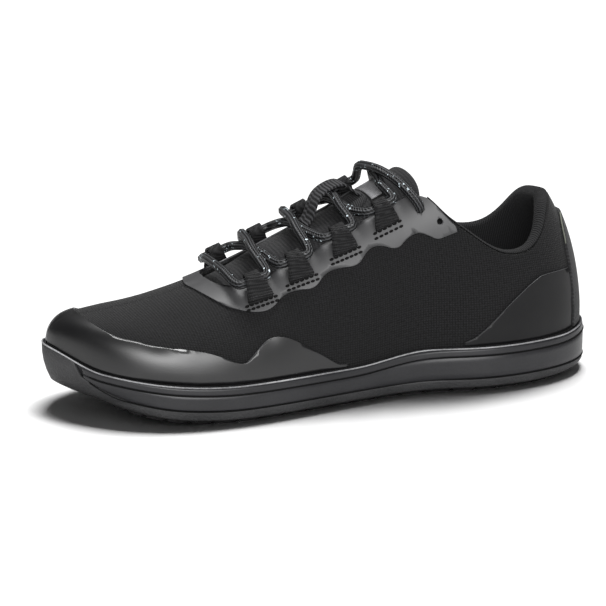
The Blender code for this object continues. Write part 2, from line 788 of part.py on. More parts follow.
def lace_leg(side):
    """Route of the lace from the front bar up to a top eyelet: row, share v, side, height."""
    leg = []
    here = side
    for number, row in enumerate(CROSSINGS):
        over = (number % 2 == 0) == (side == LATERAL)
        level = UPPER_LEVEL if over else LOWER_LEVEL
        leg += through_eye(here, number)
        leg += [(row + 0.07, 0.86, here, level), (row + 0.02, 0.95, here, level),
                (row - 0.02, 0.95, -here, level), (row - 0.07, 0.86, -here, level)]
        here = -here
    leg += through_eye(here, len(CROSSINGS))
    top = (UPPER_LEVEL if side == LATERAL else LOWER_LEVEL) + 0.001
    row, v = EYELETS[0]
    leg += [(6.42, 0.90, here, top), (6.36, 0.96, here, top), (6.28, 0.94, -here, top),
            (6.12, 0.85, -here, END_LEVEL + 0.0022), (6.00, v + 0.07, -here, END_LEVEL + 0.0010),
            (row, v + 0.015, -here, END_LEVEL)]
    return leg


def smooth_path(points, step):
    """Points at even steps along a smooth curve through the given ones."""
    points = np.array(points)
    curve = []
    for i in range(len(points) - 1):
        p0 = points[max(i - 1, 0)]
        p1, p2 = points[i], points[i + 1]
        p3 = points[min(i + 2, len(points) - 1)]
        count = max(int(round(np.linalg.norm(p2 - p1) / step)), 1)
        for k in range(count):
            f = k / count
            curve.append(0.5 * (2 * p1 + (p2 - p0) * f + (2 * p0 - 5 * p1 + 4 * p2 - p3) * f * f
                                + (3 * p1 - p0 - 3 * p2 + p3) * f**3))
    curve.append(points[-1])
    return curve


def tube(name, points, diameter, finish):
    line = bpy.data.curves.new(name, "CURVE")
    line.dimensions = "3D"
    line.bevel_depth = diameter / 2
    line.bevel_resolution = 1
    line.use_fill_caps = True
    strand = line.splines.new("POLY")
    strand.points.add(len(points) - 1)
    for place, point in zip(strand.points, points):
        place.co = (*point, 1)
    add_object(name, line, finish)


def lace():
    """One cord from the medial top eyelet down to the front bar and up to the lateral eyelet."""
    high = LOWER_LEVEL + 0.0016
    low = LOWER_LEVEL + 0.0006
    bar = [(9.60, 0.84, MEDIAL, high), (9.60, 0.97, MEDIAL, low),
           (9.60, 0.97, LATERAL, low), (9.60, 0.84, LATERAL, high)]
    route = lace_leg(MEDIAL)[::-1] + bar + lace_leg(LATERAL)
    points = [above(side, row, v, height) for row, v, side, height in route]
    tube("lace", smooth_path(points, 0.0088), LACE_DIAMETER, CORD)


def lace_keeper():
    """Webbing bridge on the tongue over the last crossing."""
    foot = TONGUE_CROWN - UPPER_WALL + WEBBING / 2 + 0.0003
    top = UPPER_LEVEL + LACE_DIAMETER / 2 + WEBBING / 2 + 0.0012
    form = bmesh.new()
    columns = []
    for across in (-0.5, 0.0, 0.5):
        column = []
        for row, share in KEEPER_PATH:
            point = above(LATERAL, row, 1.0, foot + (top - foot) * share)
            column.append(point + np.array((0, -across * KEEPER_WIDTH, 0)))
        columns.append(column)
    add_grid(form, columns, True)
    made = object_from("lace_keeper", form, WEB)
    solidify(made, WEBBING, 0)


def punch(targets):
    """Eyelet holes through the upper and the eyestay."""
    for side in (LATERAL, MEDIAL):
        for number, (row, v) in enumerate(EYELETS):
            centre = Vector(surface(side, row, v))
            normal = Vector(normal_at(side, row, v))
            bpy.ops.mesh.primitive_cylinder_add(vertices=8, radius=EYELET_RADIUS, depth=0.012)
            cutter = bpy.context.object
            cutter.name = "eyelet_cutter_%d_%d" % (side + 2, number + 1)
            cutter.matrix_world = (Matrix.Translation(centre)
                                   @ normal.to_track_quat("Z", "Y").to_matrix().to_4x4())
            for holder in list(cutter.users_collection):
                holder.objects.unlink(cutter)
            CUTTERS.objects.link(cutter)
            cutter.hide_render = True
            cutter.display_type = "WIRE"
            for target in targets:
                change = target.modifiers.new("eyelet", "BOOLEAN")
                change.operation = "DIFFERENCE"
                change.object = cutter


def main():
    outsole()
    midsole()
    insole()
    shoe_upper = upper()
    toe_cap()
    stay = eyestay()
    heel_counter("heel_counter_lateral", LATERAL)
    heel_counter("heel_counter_medial", MEDIAL)
    heel_strip()
    punch((shoe_upper, stay))
    tongue()
    tongue_patch("tongue_label", 6.36, 6.70, 0.66, 0.0006)
    collar_lining()
    for side, name in ((LATERAL, "lateral"), (MEDIAL, "medial")):
        for number, (row, base) in enumerate(LOOPS):
            lace_loop("lace_loop_%s_%d" % (name, number + 1), side, row, base)
    lace()
    lace_keeper()


main()
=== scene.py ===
"""Looks of the barefoot shoe, left foot.

Metres, +Z up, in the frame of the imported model: the toe points along -X, the lateral side faces
-Y. What lies on the upper is placed in the coordinates of the last: a row from 0 at the heel to
15 at the toe tip, a share v of the way up from the sole's rim to the top line, and a height.
"""
import bisect
import functools
import itertools
import json
import math
import bmesh
import bpy
import numpy as np
from mathutils import Matrix, Vector
from mathutils.bvhtree import BVHTree
from mathutils.kdtree import KDTree

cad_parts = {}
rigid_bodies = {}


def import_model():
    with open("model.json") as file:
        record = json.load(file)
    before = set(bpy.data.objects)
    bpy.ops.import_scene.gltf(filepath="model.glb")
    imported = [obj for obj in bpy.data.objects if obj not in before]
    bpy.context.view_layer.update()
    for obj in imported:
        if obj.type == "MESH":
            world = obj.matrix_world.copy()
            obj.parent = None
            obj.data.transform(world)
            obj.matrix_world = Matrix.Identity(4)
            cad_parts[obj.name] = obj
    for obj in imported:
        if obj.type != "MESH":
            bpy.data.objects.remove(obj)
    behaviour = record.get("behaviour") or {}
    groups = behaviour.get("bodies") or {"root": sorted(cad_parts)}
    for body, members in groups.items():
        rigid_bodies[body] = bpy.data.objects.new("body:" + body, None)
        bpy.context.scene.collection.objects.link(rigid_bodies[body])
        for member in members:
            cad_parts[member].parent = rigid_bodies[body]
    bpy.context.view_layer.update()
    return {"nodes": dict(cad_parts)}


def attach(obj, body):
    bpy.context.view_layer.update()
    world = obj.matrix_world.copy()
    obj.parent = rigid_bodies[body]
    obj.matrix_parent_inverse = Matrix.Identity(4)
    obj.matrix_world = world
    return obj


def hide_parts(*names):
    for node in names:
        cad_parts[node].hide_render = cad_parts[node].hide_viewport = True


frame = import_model()

# Sizes of the last, the same as in the part's source
LENGTH = 0.280
BALL_WIDTH = 0.094
INSTEP_HEIGHT = 0.1155
HEEL_HEIGHT = 0.093
SIDE_HEIGHT = 0.0196
HEEL_LIFT = 0.0039
HEEL_LIP = 0.0016
TOE_LIP = 0.0045
TOE_SPRING = 0.0093
INSET = 0.0036
TUCK = 0.0020
LATERAL = 1
MEDIAL = -1

# Sizes of the lacing
LACE_DIAMETER = 0.0044
FILM_FACE = 0.0011
LOOP_BASE = 0.0021
EYE_HEIGHT = 0.0084
LOWER_LEVEL = 0.0038
UPPER_LEVEL = 0.0086
END_LEVEL = 0.0036

# Outline of the sole by row, from the heel to the toe tip.
# Columns: distance from the heel as a share of LENGTH and distance from the middle line as a
# share of BALL_WIDTH, first on the lateral side, then on the medial side.
OUTLINE = (
    (0.000, 0.000, 0.000, 0.000),
    (0.010, 0.114, 0.010, -0.114),
    (0.040, 0.229, 0.040, -0.229),
    (0.094, 0.322, 0.094, -0.322),
    (0.168, 0.377, 0.168, -0.367),
    (0.255, 0.380, 0.255, -0.353),
    (0.343, 0.326, 0.346, -0.324),
    (0.434, 0.341, 0.437, -0.343),
    (0.524, 0.387, 0.528, -0.405),
    (0.615, 0.435, 0.619, -0.483),
    (0.706, 0.464, 0.710, -0.530),
    (0.794, 0.443, 0.797, -0.536),
    (0.871, 0.362, 0.878, -0.504),
    (0.934, 0.213, 0.942, -0.426),
    (0.979, 0.021, 0.983, -0.301),
    (1.000, -0.151, 1.000, -0.151),
)
TOE_ROW = len(OUTLINE) - 1

# Top line of the closed last by row, which the collar and the throat cut short.
# Columns: along (share of LENGTH), across (share of BALL_WIDTH), height as shares of
# HEEL_HEIGHT and of INSTEP_HEIGHT, then the rib's two handles as shares of its reach,
# at the rim and at the top line, and its lean outwards at the rim.
TOP_LINE = (
    (0.215, 0.000, 0.900, 0.290, 0.44, 0.31, 0.005),
    (0.217, 0.000, 0.900, 0.290, 0.44, 0.31, 0.005),
    (0.222, 0.000, 0.900, 0.290, 0.45, 0.33, 0.015),
    (0.234, -0.005, 0.800, 0.370, 0.47, 0.36, 0.035),
    (0.258, -0.015, 0.400, 0.690, 0.50, 0.40, 0.04),
    (0.302, -0.031, 0.000, 1.000, 0.50, 0.46, 0.02),
    (0.367, -0.042, 0.000, 0.911, 0.50, 0.48, 0.05),
    (0.448, -0.042, 0.000, 0.814, 0.50, 0.50, 0.06),
    (0.538, -0.047, 0.000, 0.712, 0.50, 0.50, 0.05),
    (0.633, -0.057, 0.000, 0.606, 0.50, 0.48, 0.02),
    (0.727, -0.073, 0.000, 0.513, 0.48, 0.48, 0.00),
    (0.818, -0.099, 0.000, 0.449, 0.46, 0.50, 0.00),
    (0.899, -0.120, 0.000, 0.415, 0.46, 0.52, 0.00),
    (0.953, -0.135, 0.000, 0.398, 0.46, 0.50, 0.00),
    (0.980, -0.146, 0.000, 0.356, 0.46, 0.32, 0.00),
    (0.986, -0.151, 0.000, 0.318, 0.46, 0.10, 0.00),
)

# Upper boundary of the heel strip. Columns: row, share v.
HEEL_STRIP_EDGE = (
    (0.00, 0.440), (1.20, 0.435), (1.70, 0.415), (1.95, 0.375), (2.04, 0.320),
)

# Webbing loops of the lacing, from the throat's front end. Columns: row, share v of the base.
LOOPS = ((9.28, 0.520), (8.47, 0.560), (7.58, 0.615), (6.68, 0.650))
LOOP_REACH = 0.0142
EYELETS = ((5.95, 0.655), (5.62, 0.550))
# Rows where the two legs of the lace cross over the tongue.
CROSSINGS = (8.92, 8.10, 7.26)


def spline_bends(values, closed):
    """Second differences of the cubic spline through values, closed or with straight ends."""
    count = len(values)
    system = np.zeros((count, count))
    right = np.zeros_like(values)
    for i in range(count):
        after = (i + 1) % count
        if closed or 0 < i < count - 1:
            system[i, (i - 1, i, after)] = 1, 4, 1
            right[i] = 6 * (values[i - 1] - 2 * values[i] + values[after])
        else:
            system[i, i] = 1
    return np.linalg.solve(system, right)


def on_spline(values, bends, i, j, f):
    """Point of a cubic spline at a share f of the way from value i to value j."""
    g = 1 - f
    return g * values[i] + f * values[j] + ((g**3 - g) * bends[i] + (f**3 - f) * bends[j]) / 6


def between(p0, p1, p2, p3, f):
    """Point at a share f of the way from p1 to p2, smooth through all four."""
    return 0.5 * (2 * p1 + (p2 - p0) * f + (2 * p0 - 5 * p1 + 4 * p2 - p3) * f * f
                  + (3 * p1 - p0 - 3 * p2 + p3) * f**3)


def table(rows, at, column=1):
    """Value of a table at a row number, by a monotone cubic between its rows."""
    keys = [row[0] for row in rows]
    values = [row[column] for row in rows]
    if at <= keys[0]:
        return values[0]
    if at >= keys[-1]:
        return values[-1]
    i = bisect.bisect_right(keys, at) - 1

    def rise(k):
        return (values[k + 1] - values[k]) / (keys[k + 1] - keys[k])

    def slope(k):
        if k == 0 or k == len(keys) - 1:
            return 0.0
        before, after = rise(k - 1), rise(k)
        return 0.0 if before * after <= 0 else 2 * before * after / (before + after)

    span = keys[i + 1] - keys[i]
    f = (at - keys[i]) / span
    return (values[i] * (1 + 2 * f) * (1 - f)**2 + values[i + 1] * f * f * (3 - 2 * f)
            + span * (slope(i) * f * (1 - f)**2 - slope(i + 1) * f * f * (1 - f)))


def smooth(value, low, high):
    """0 below low, 1 above high and a soft step between."""
    f = min(max((value - low) / (high - low), 0), 1)
    return f * f * (3 - 2 * f)


RING = np.array([(row[0] * LENGTH, row[1] * BALL_WIDTH) for row in OUTLINE]
                + [(row[2] * LENGTH, row[3] * BALL_WIDTH) for row in OUTLINE[-2:0:-1]])
RING_BENDS = spline_bends(RING, closed=True)


def ring_point(number):
    """Point of the sole's outline at a ring number: along, across."""
    i = int(math.floor(number)) % len(RING)
    return on_spline(RING, RING_BENDS, i, (i + 1) % len(RING), number - math.floor(number))


def outline(side, row):
    """Point of the sole's outline and its outward normal."""
    number = row if side == LATERAL else len(RING) - row
    step = 1e-3
    point = ring_point(number)
    run = ring_point(number + step) - ring_point(number - step)
    run /= np.linalg.norm(run)
    return point, np.array((-run[1], run[0]))


def spring(along):
    """Height of the sole's underside above the floor."""
    front = max((along - 0.70 * LENGTH) / (0.30 * LENGTH), 0)
    return TOE_SPRING * front**1.7


def rim_height(along):
    """Height of the top of the cup's rim."""
    heel = HEEL_LIFT * (1 - smooth(along, 0.34 * LENGTH, 0.49 * LENGTH))
    back = HEEL_LIP * (1 - smooth(along, 0, 0.08 * LENGTH))
    toe = TOE_LIP * smooth(along, 0.93 * LENGTH, LENGTH)
    return SIDE_HEIGHT + heel + back + toe + spring(along)


ACROSS = [ring_point(k / 10)[1] for k in range(10 * len(RING))]
MIDDLE = (min(ACROSS) + max(ACROSS)) / 2


def world(along, across, up):
    """Point in the shared frame from distances from the heel, the middle line and the floor."""
    return np.array((LENGTH / 2 - along, MIDDLE - across, up))


TOP = np.array([(row[0] * LENGTH, row[1] * BALL_WIDTH,
                 row[2] * HEEL_HEIGHT + row[3] * INSTEP_HEIGHT, *row[4:]) for row in TOP_LINE])
TOP_BENDS = spline_bends(TOP, closed=False)


@functools.lru_cache(maxsize=None)
def rib(side, row):
    """Four control points of the rib at a row, from the rim to the top line."""
    foot, normal = outline(side, row)
    base = foot - normal * INSET
    start = world(base[0], base[1], rim_height(foot[0]) - TUCK)
    before = min(max(int(row), 0), len(TOP) - 2)
    values = on_spline(TOP, TOP_BENDS, before, before + 1, min(max(row, 0), TOE_ROW) - before)
    end = world(*values[:3])
    reach = np.linalg.norm(end - start)
    outward = np.array((-normal[0], -normal[1], 0))
    rise = np.array((0, 0, 1)) + outward * values[5]
    turn = smooth(row, 2, 5) * smooth(TOE_ROW - row, 0, 0.8)
    radial = (start - end) * (1, 1, 0)
    radial /= np.linalg.norm(radial)
    sideways = np.array((0, -side, 0)) * turn + radial * (1 - turn)
    return start, start + rise * reach * values[3], end + sideways * reach * values[4], end


def on_rib(a, b, c, d, v):
    """Point at a share v of a rib with four control points."""
    u = 1 - v
    return u**3 * a + 3 * u * u * v * b + 3 * u * v * v * c + v**3 * d


def surface(side, row, v):
    """Point of the closed last."""
    return on_rib(*rib(side, row), v)


def normal_at(side, row, v):
    """Outward normal of the last."""
    step = 0.02
    if row < step or row > TOE_ROW - step:
        v = min(v, 0.97)
    before = surface(side, row - step, v) if row >= step else surface(-side, step, v)
    if row <= TOE_ROW - step:
        after = surface(side, row + step, v)
    else:
        after = surface(-side, TOE_ROW - step, v)
    a, b, c, d = rib(side, row)
    u = 1 - v
    upward = u * u * (b - a) + 2 * u * v * (c - b) + v * v * (d - c)
    found = np.cross(upward, after - before) * side
    return found / np.linalg.norm(found)


def above(side, row, v, height):
    """Point at a height above the last, or inside it where height is below 0."""
    return surface(side, row, v) + normal_at(side, row, v) * height


def rib_length(side, row):
    """Length along a rib from the rim to the top line."""
    points = [surface(side, row, k / 12) for k in range(13)]
    return sum(np.linalg.norm(b - a) for a, b in zip(points, points[1:]))


# Mesh helpers

def select_only(piece):
    """Select and activate one piece, with all others deselected."""
    for other in bpy.context.selected_objects:
        other.select_set(False)
    piece.select_set(True)
    bpy.context.view_layer.objects.active = piece


def finish_piece(piece, node, finish):
    """Material and body of a piece, and the CAD node it stands for, if any."""
    piece.data.materials.clear()
    piece.data.materials.append(finish)
    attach(piece, "root")
    if node:
        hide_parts(node)
    return piece


def crease_hard_edges(mesh, angle):
    """Keep the edges sharper than an angle when the mesh is subdivided."""
    form = bmesh.new()
    form.from_mesh(mesh)
    layer = form.edges.layers.float.get("crease_edge") or form.edges.layers.float.new("crease_edge")
    for edge_of in form.edges:
        if edge_of.calc_face_angle(0) > angle:
            edge_of[layer] = 1.0
    form.to_mesh(mesh)
    form.free()


def cover(node, levels, angle=None):
    """Smooth piece over a CAD node: a merged copy of its mesh, subdivided."""
    made = bpy.data.objects.new(node + "_cover", frame["nodes"][node].data.copy())
    bpy.context.scene.collection.objects.link(made)
    select_only(made)
    bpy.ops.object.mode_set(mode="EDIT")
    bpy.ops.mesh.select_all(action="SELECT")
    bpy.ops.mesh.remove_doubles(threshold=1e-5)
    bpy.ops.mesh.tris_convert_to_quads(face_threshold=math.pi, shape_threshold=math.pi)
    bpy.ops.object.mode_set(mode="OBJECT")
    if angle:
        crease_hard_edges(made.data, angle)
    change = made.modifiers.new("smooth", "SUBSURF")
    change.levels = levels
    change.render_levels = levels
    bpy.ops.object.modifier_apply(modifier=change.name)
    bpy.ops.object.shade_smooth()
    return made


# Even grid on the last: its rows, its shares, and the number of the share along which the
# shoe's length is measured.
CHART_ROWS = np.linspace(0, TOE_ROW, 181)
CHART_SHARES = np.linspace(0, 1, 33)
LENGTH_LINE = 10


@functools.lru_cache(maxsize=None)
def chart_grid(side):
    """Points of the last on an even grid of rows and shares, their slopes and a search tree."""
    points = np.array([[surface(side, row, v) for v in CHART_SHARES] for row in CHART_ROWS])
    by_row = np.gradient(points, CHART_ROWS, axis=0)
    by_share = np.gradient(points, CHART_SHARES, axis=1)
    run = np.linalg.norm(by_row[:, LENGTH_LINE], axis=1)
    along = np.concatenate([[0], np.cumsum((run[1:] + run[:-1]) / 2 * np.diff(CHART_ROWS))])
    up = np.array([rib_length(side, row) for row in CHART_ROWS])
    tree = KDTree(points.shape[0] * points.shape[1])
    for k, point in enumerate(points.reshape(-1, 3)):
        tree.insert(point, k)
    tree.balance()
    return points, by_row, by_share, along, up, tree


def steps_to(away, by_row, by_share, least):
    """Steps in row and in share that bring points of the last closest to points away from them."""
    aa, bb, ab = (by_row**2).sum(1), (by_share**2).sum(1), (by_row * by_share).sum(1)
    ra, rb = (away * by_row).sum(1), (away * by_share).sum(1)
    whole = np.maximum(aa * bb - ab * ab, least)
    return (ra * bb - rb * ab) / whole, (rb * aa - ra * ab) / whole


def chart(piece):
    """Side, row and share v of each vertex of a piece that lies on the last."""
    spots = np.array([vertex.co for vertex in piece.data.vertices])
    best = np.full(len(spots), np.inf)
    found = np.zeros((len(spots), 3))
    for side in (LATERAL, MEDIAL):
        points, by_row, by_share, _, _, tree = chart_grid(side)
        near = [tree.find(spot)[1:] for spot in spots]
        k = np.array([index for index, _ in near])
        gap = np.array([distance for _, distance in near])
        i, j = np.divmod(k, len(CHART_SHARES))
        row_step, share_step = steps_to(spots - points[i, j], by_row[i, j], by_share[i, j], 1e-18)
        rows = np.clip(CHART_ROWS[i] + row_step, 0, TOE_ROW)
        shares = np.clip(CHART_SHARES[j] + share_step, 0, 1)
        closer = gap < best
        best[closer] = gap[closer]
        found[closer] = np.stack([np.full(len(spots), side), rows, shares], axis=1)[closer]
    return found


@functools.lru_cache(maxsize=None)
def rib_grid(side):
    """Control points of the ribs at the chart's rows, with one more past each end."""
    ribs = np.array([rib(side, row) for row in CHART_ROWS])
    return np.concatenate([2 * ribs[:1] - ribs[1:2], ribs, 2 * ribs[-1:] - ribs[-2:-1]])


def last_points(side, rows, shares):
    """Points of the last at many rows and shares of one side, smooth between its ribs."""
    ribs = rib_grid(side)
    place = np.clip(rows / TOE_ROW, 0, 1) * (len(CHART_ROWS) - 1)
    i = np.minimum(place.astype(int), len(CHART_ROWS) - 2)
    f = (place - i)[:, None, None]
    p0, p1, p2, p3 = ribs[i], ribs[i + 1], ribs[i + 2], ribs[np.minimum(i + 3, len(ribs) - 1)]
    points = between(p0, p1, p2, p3, f)
    return on_rib(*points.transpose(1, 0, 2), shares[:, None])


# Laying a face on the last: how far a vertex may be from its level, how near its normal is to
# the last's, the share at which the foot starts to move and the shares over which it comes in,
# and how near to the seams at heel and toe and to the top line vertices stay.
LAY_REACH = 0.0020
LAY_FACING = 0.15
LAY_FOOT = 0.03
LAY_RAMP = 0.05
LAY_ROW_END = 0.03
LAY_TOP = 0.996
# Rounds of the search for a vertex's place on the last, its half steps in row and in share for
# slopes, and the longest steps of one round.
LAY_ROUNDS = 4
ROW_STEP = 0.01
SHARE_STEP = 0.005
ROW_MOST = 0.1
SHARE_MOST = 0.03


def lay_on_last(piece, places, level):
    """Lay the outer face of a piece smoothly at a level over the last.

    Vertices far from that level stay, and so do those that face inwards and the foot.
    """
    facing = np.array([vertex.normal for vertex in piece.data.vertices])
    spots = np.array([vertex.co for vertex in piece.data.vertices])
    for side in (LATERAL, MEDIAL):
        here = np.where(places[:, 0] == side)[0]
        rows, shares = places[here, 1].copy(), places[here, 2].copy()
        for _ in range(LAY_ROUNDS):
            base = last_points(side, rows, shares)
            by_row = (last_points(side, rows + ROW_STEP, shares)
                      - last_points(side, rows - ROW_STEP, shares)) / (2 * ROW_STEP)
            by_share = (last_points(side, rows, shares + SHARE_STEP)
                        - last_points(side, rows, shares - SHARE_STEP)) / (2 * SHARE_STEP)
            row_step, share_step = steps_to(spots[here] - base, by_row, by_share, 1e-14)
            rows = np.clip(rows + np.clip(row_step, -ROW_MOST, ROW_MOST), 0, TOE_ROW)
            shares = np.clip(shares + np.clip(share_step, -SHARE_MOST, SHARE_MOST), 0, 1)
        base = last_points(side, rows, shares)
        inside = (rows > LAY_ROW_END) & (rows < TOE_ROW - LAY_ROW_END) & (shares < LAY_TOP)
        inside = inside * np.clip((shares - LAY_FOOT) / LAY_RAMP, 0, 1)
        normals = np.cross(by_share, by_row) * side
        normals /= np.maximum(np.linalg.norm(normals, axis=1, keepdims=True), 1e-12)
        height = ((spots[here] - base) * normals).sum(1)
        share = np.clip(2 - 2 * np.abs(height - level) / LAY_REACH, 0, 1)
        share *= (facing[here] * normals).sum(1) > LAY_FACING
        move = normals * ((level - height) * share * inside)[:, None]
        for k, step in zip(here, move):
            piece.data.vertices[k].co += Vector(step)


def flat_places(places):
    """Distances along the shoe and up its ribs, in metres, of places on the last."""
    places = np.asarray(places, float)
    flat = np.zeros((len(places), 2))
    for side in (LATERAL, MEDIAL):
        _, _, _, along, up, _ = chart_grid(side)
        here = places[:, 0] == side
        rows = places[here, 1]
        flat[here, 0] = np.interp(rows, CHART_ROWS, along)
        flat[here, 1] = places[here, 2] * np.interp(rows, CHART_ROWS, up)
    return flat


def lay_chart(piece, places):
    """UV map in metres: x runs along the shoe and y up its ribs."""
    flat = flat_places(places)
    layer = piece.data.uv_layers.new(name="last")
    corners = np.empty(len(piece.data.loops), int)
    piece.data.loops.foreach_get("vertex_index", corners)
    layer.data.foreach_set("uv", flat[corners].ravel().astype(np.float32))
    piece.data.uv_layers.active = layer


def last_normals(places):
    """Outward normals of the last at places on it, from its even grid."""
    places = np.asarray(places, float)
    normals = np.zeros((len(places), 3))
    for side in (LATERAL, MEDIAL):
        _, by_row, by_share, _, _, _ = chart_grid(side)
        here = places[:, 0] == side
        i = np.rint(places[here, 1] / TOE_ROW * (len(CHART_ROWS) - 1)).astype(int)
        j = np.rint(places[here, 2] * (len(CHART_SHARES) - 1)).astype(int)
        found = np.cross(by_share[i, j], by_row[i, j]) * side
        normals[here] = found / np.maximum(np.linalg.norm(found, axis=1, keepdims=True), 1e-12)
    return normals


# Soft troughs and ridges of the upper. Columns: row, share v, row, share v, half-width and
# depth in metres; a ridge has a depth below 0. Each runs straight between its two places.
CREASES = (
    (10.9, 0.62, 11.5, 0.36, 0.0050, 0.0006),
    (10.4, 0.50, 10.9, 0.30, 0.0045, -0.0004),
    (9.9, 0.42, 9.3, 0.28, 0.0050, 0.0005),
    (8.6, 0.34, 8.0, 0.16, 0.0060, 0.0005),
    (7.6, 0.40, 7.0, 0.22, 0.0070, -0.0004),
    (6.4, 0.30, 5.7, 0.14, 0.0075, 0.0006),
    (4.6, 0.26, 3.9, 0.22, 0.0060, -0.0004),
    (11.6, 0.95, 11.9, 0.60, 0.0060, -0.0003),
)


def crease_depths(places):
    """Depth of the creases at places on the last."""
    here = flat_places(places)
    sides = np.asarray(places, float)[:, 0]
    depths = np.zeros(len(here))
    for row_a, v_a, row_b, v_b, width, most in CREASES:
        for side in (LATERAL, MEDIAL):
            a, b = flat_places([(side, row_a, v_a), (side, row_b, v_b)])
            share = np.clip((here - a) @ (b - a) / ((b - a) @ (b - a)), 0, 1)
            gap = np.linalg.norm(here - a - np.outer(share, b - a), axis=1)
            depths += np.where(sides == side, most * np.exp(-(gap / width)**2), 0)
    return depths


def press_creases(piece, places):
    """Press the creases into a piece that lies on the last."""
    moves = last_normals(places) * crease_depths(places)[:, None]
    for vertex, move in zip(piece.data.vertices, moves):
        vertex.co -= Vector(move)


def smooth_curve(points, step):
    """Points at even steps along a smooth curve through the given ones."""
    points = [np.array(point) for point in points]
    curve = []
    for i in range(len(points) - 1):
        around = [points[min(max(k, 0), len(points) - 1)] for k in range(i - 1, i + 3)]
        count = max(int(round(np.linalg.norm(around[2] - around[1]) / step)), 1)
        curve += [between(*around, k / count) for k in range(count)]
    curve.append(points[-1])
    return curve


def grid_piece(name, columns, lines, place, closed=False):
    """Grid primitive whose vertices are moved to place(column, line), with a UV map in metres."""
    bpy.ops.mesh.primitive_grid_add(x_subdivisions=columns - 1, y_subdivisions=lines - 1, size=1)
    made = bpy.context.object
    made.name = name
    spots = []
    for k, vertex in enumerate(made.data.vertices):
        line, column = divmod(k, columns)
        point, flat = place(column, line)
        vertex.co = Vector(point)
        spots.append(flat)
    layer = made.data.uv_layers.active
    layer.name = "last"
    for corner in made.data.loops:
        layer.data[corner.index].uv = spots[corner.vertex_index]
    if closed:
        select_only(made)
        bpy.ops.object.mode_set(mode="EDIT")
        bpy.ops.mesh.select_all(action="SELECT")
        bpy.ops.mesh.remove_doubles(threshold=1e-6)
        bpy.ops.mesh.normals_make_consistent(inside=False)
        bpy.ops.object.mode_set(mode="OBJECT")
    select_only(made)
    bpy.ops.object.shade_smooth()
    return made


def strand(name, points, radius, sides=10, ribs=0, rib_depth=0):
    """Closed round strand along a path, with ribs along it where ribs is above 0."""
    points = [Vector(point) for point in points]
    runs = [(points[min(i + 1, len(points) - 1)] - points[max(i - 1, 0)]).normalized()
            for i in range(len(points))]
    normal = runs[0].orthogonal().normalized()
    frames = []
    travel = [0]
    for i, run in enumerate(runs):
        normal = (normal - run * normal.dot(run)).normalized()
        frames.append((normal.copy(), run.cross(normal)))
        if i:
            travel.append(travel[-1] + (points[i] - points[i - 1]).length)

    def place(column, line):
        turn = 2 * math.pi * line / sides
        end = column in (0, len(points) - 1)
        reach = 0 if end else radius * (1 + rib_depth * math.cos(ribs * turn))
        a, b = frames[column]
        spot = points[column] + (a * math.cos(turn) + b * math.sin(turn)) * reach
        return spot, (travel[column], radius * turn)
    return grid_piece(name, len(points), sides + 1, place, closed=True)


# One stitch: its length, the gap to the next one, its thread's radius and its level on the last.
STITCH_LENGTH = 0.0023
STITCH_GAP = 0.0003
STITCH_RADIUS = 0.0007
STITCH_LEVEL = FILM_FACE + 0.0003


def stitches(name, places, finish):
    """Row of sewn stitches along places on the last, each a low capsule in the thread."""
    path = smooth_curve([above(*place, STITCH_LEVEL) for place in places], 0.0004)
    ups = [normal_at(*place) for place in places]
    bpy.ops.mesh.primitive_uv_sphere_add(segments=8, ring_count=5, radius=1)
    model = bpy.context.object
    runs = [np.linalg.norm(b - a) for a, b in zip(path, path[1:])]
    travel = np.concatenate([[0], np.cumsum(runs)])
    total = travel[-1]
    count = max(int(round((total + STITCH_GAP) / (STITCH_LENGTH + STITCH_GAP))), 1)

    def spot_at(distance):
        return np.array([np.interp(distance, travel, [p[axis] for p in path]) for axis in range(3)])

    copies = []
    for k in range(count):
        middle = (k + 0.5) * total / count
        run = Vector(spot_at(middle + STITCH_RADIUS) - spot_at(middle - STITCH_RADIUS)).normalized()
        up = Vector(ups[min(int(middle / total * (len(ups) - 1) + 0.5), len(ups) - 1)])
        across = up.cross(run).normalized()
        up = run.cross(across)
        turn = Matrix((run, across, up)).transposed().to_4x4()
        made = bpy.data.objects.new(name, model.data.copy())
        bpy.context.scene.collection.objects.link(made)
        size = Matrix.Diagonal((STITCH_LENGTH / 2, STITCH_RADIUS, STITCH_RADIUS, 1))
        made.data.transform(Matrix.Translation(Vector(spot_at(middle))) @ turn @ size)
        copies.append(made)
    bpy.data.objects.remove(model)
    select_only(copies[0])
    for made in copies[1:]:
        made.select_set(True)
    bpy.ops.object.join()
    bpy.ops.object.shade_smooth()
    copies[0].name = name
    return finish_piece(copies[0], None, finish)


# Materials

def linear(code):
    """Linear RGB and alpha of an sRGB hex colour."""
    values = [int(code[k:k + 2], 16) / 255 for k in (1, 3, 5)]
    return (*[c / 12.92 if c <= 0.04045 else ((c + 0.055) / 1.055)**2.4 for c in values], 1)


def add_node(tree, kind, values=(), links=()):
    """Node of a kind, with its settings and sockets set and its inputs linked."""
    made = tree.nodes.new(kind)
    for name, value in dict(values).items():
        if isinstance(name, str) and hasattr(made, name):
            setattr(made, name, value)
        else:
            made.inputs[name].default_value = value
    for name, source in dict(links).items():
        tree.links.new(source, made.inputs[name])
    return made


def new_material(name, colour, roughness, **sockets):
    """Principled material with constant colour and roughness, ready for its patterns."""
    made = bpy.data.materials.new(name)
    made.use_nodes = True
    tree = made.node_tree
    shader = tree.nodes["Principled BSDF"]
    shader.inputs["Base Color"].default_value = linear(colour)
    shader.inputs["Roughness"].default_value = roughness
    for socket, value in sockets.items():
        shader.inputs[socket.replace("_", " ")].default_value = value
    return made, tree, shader


def band_scale(period):
    """Scale of a Wave texture whose bands repeat at a period in metres: its own is pi / 10."""
    return math.pi / 10 / period


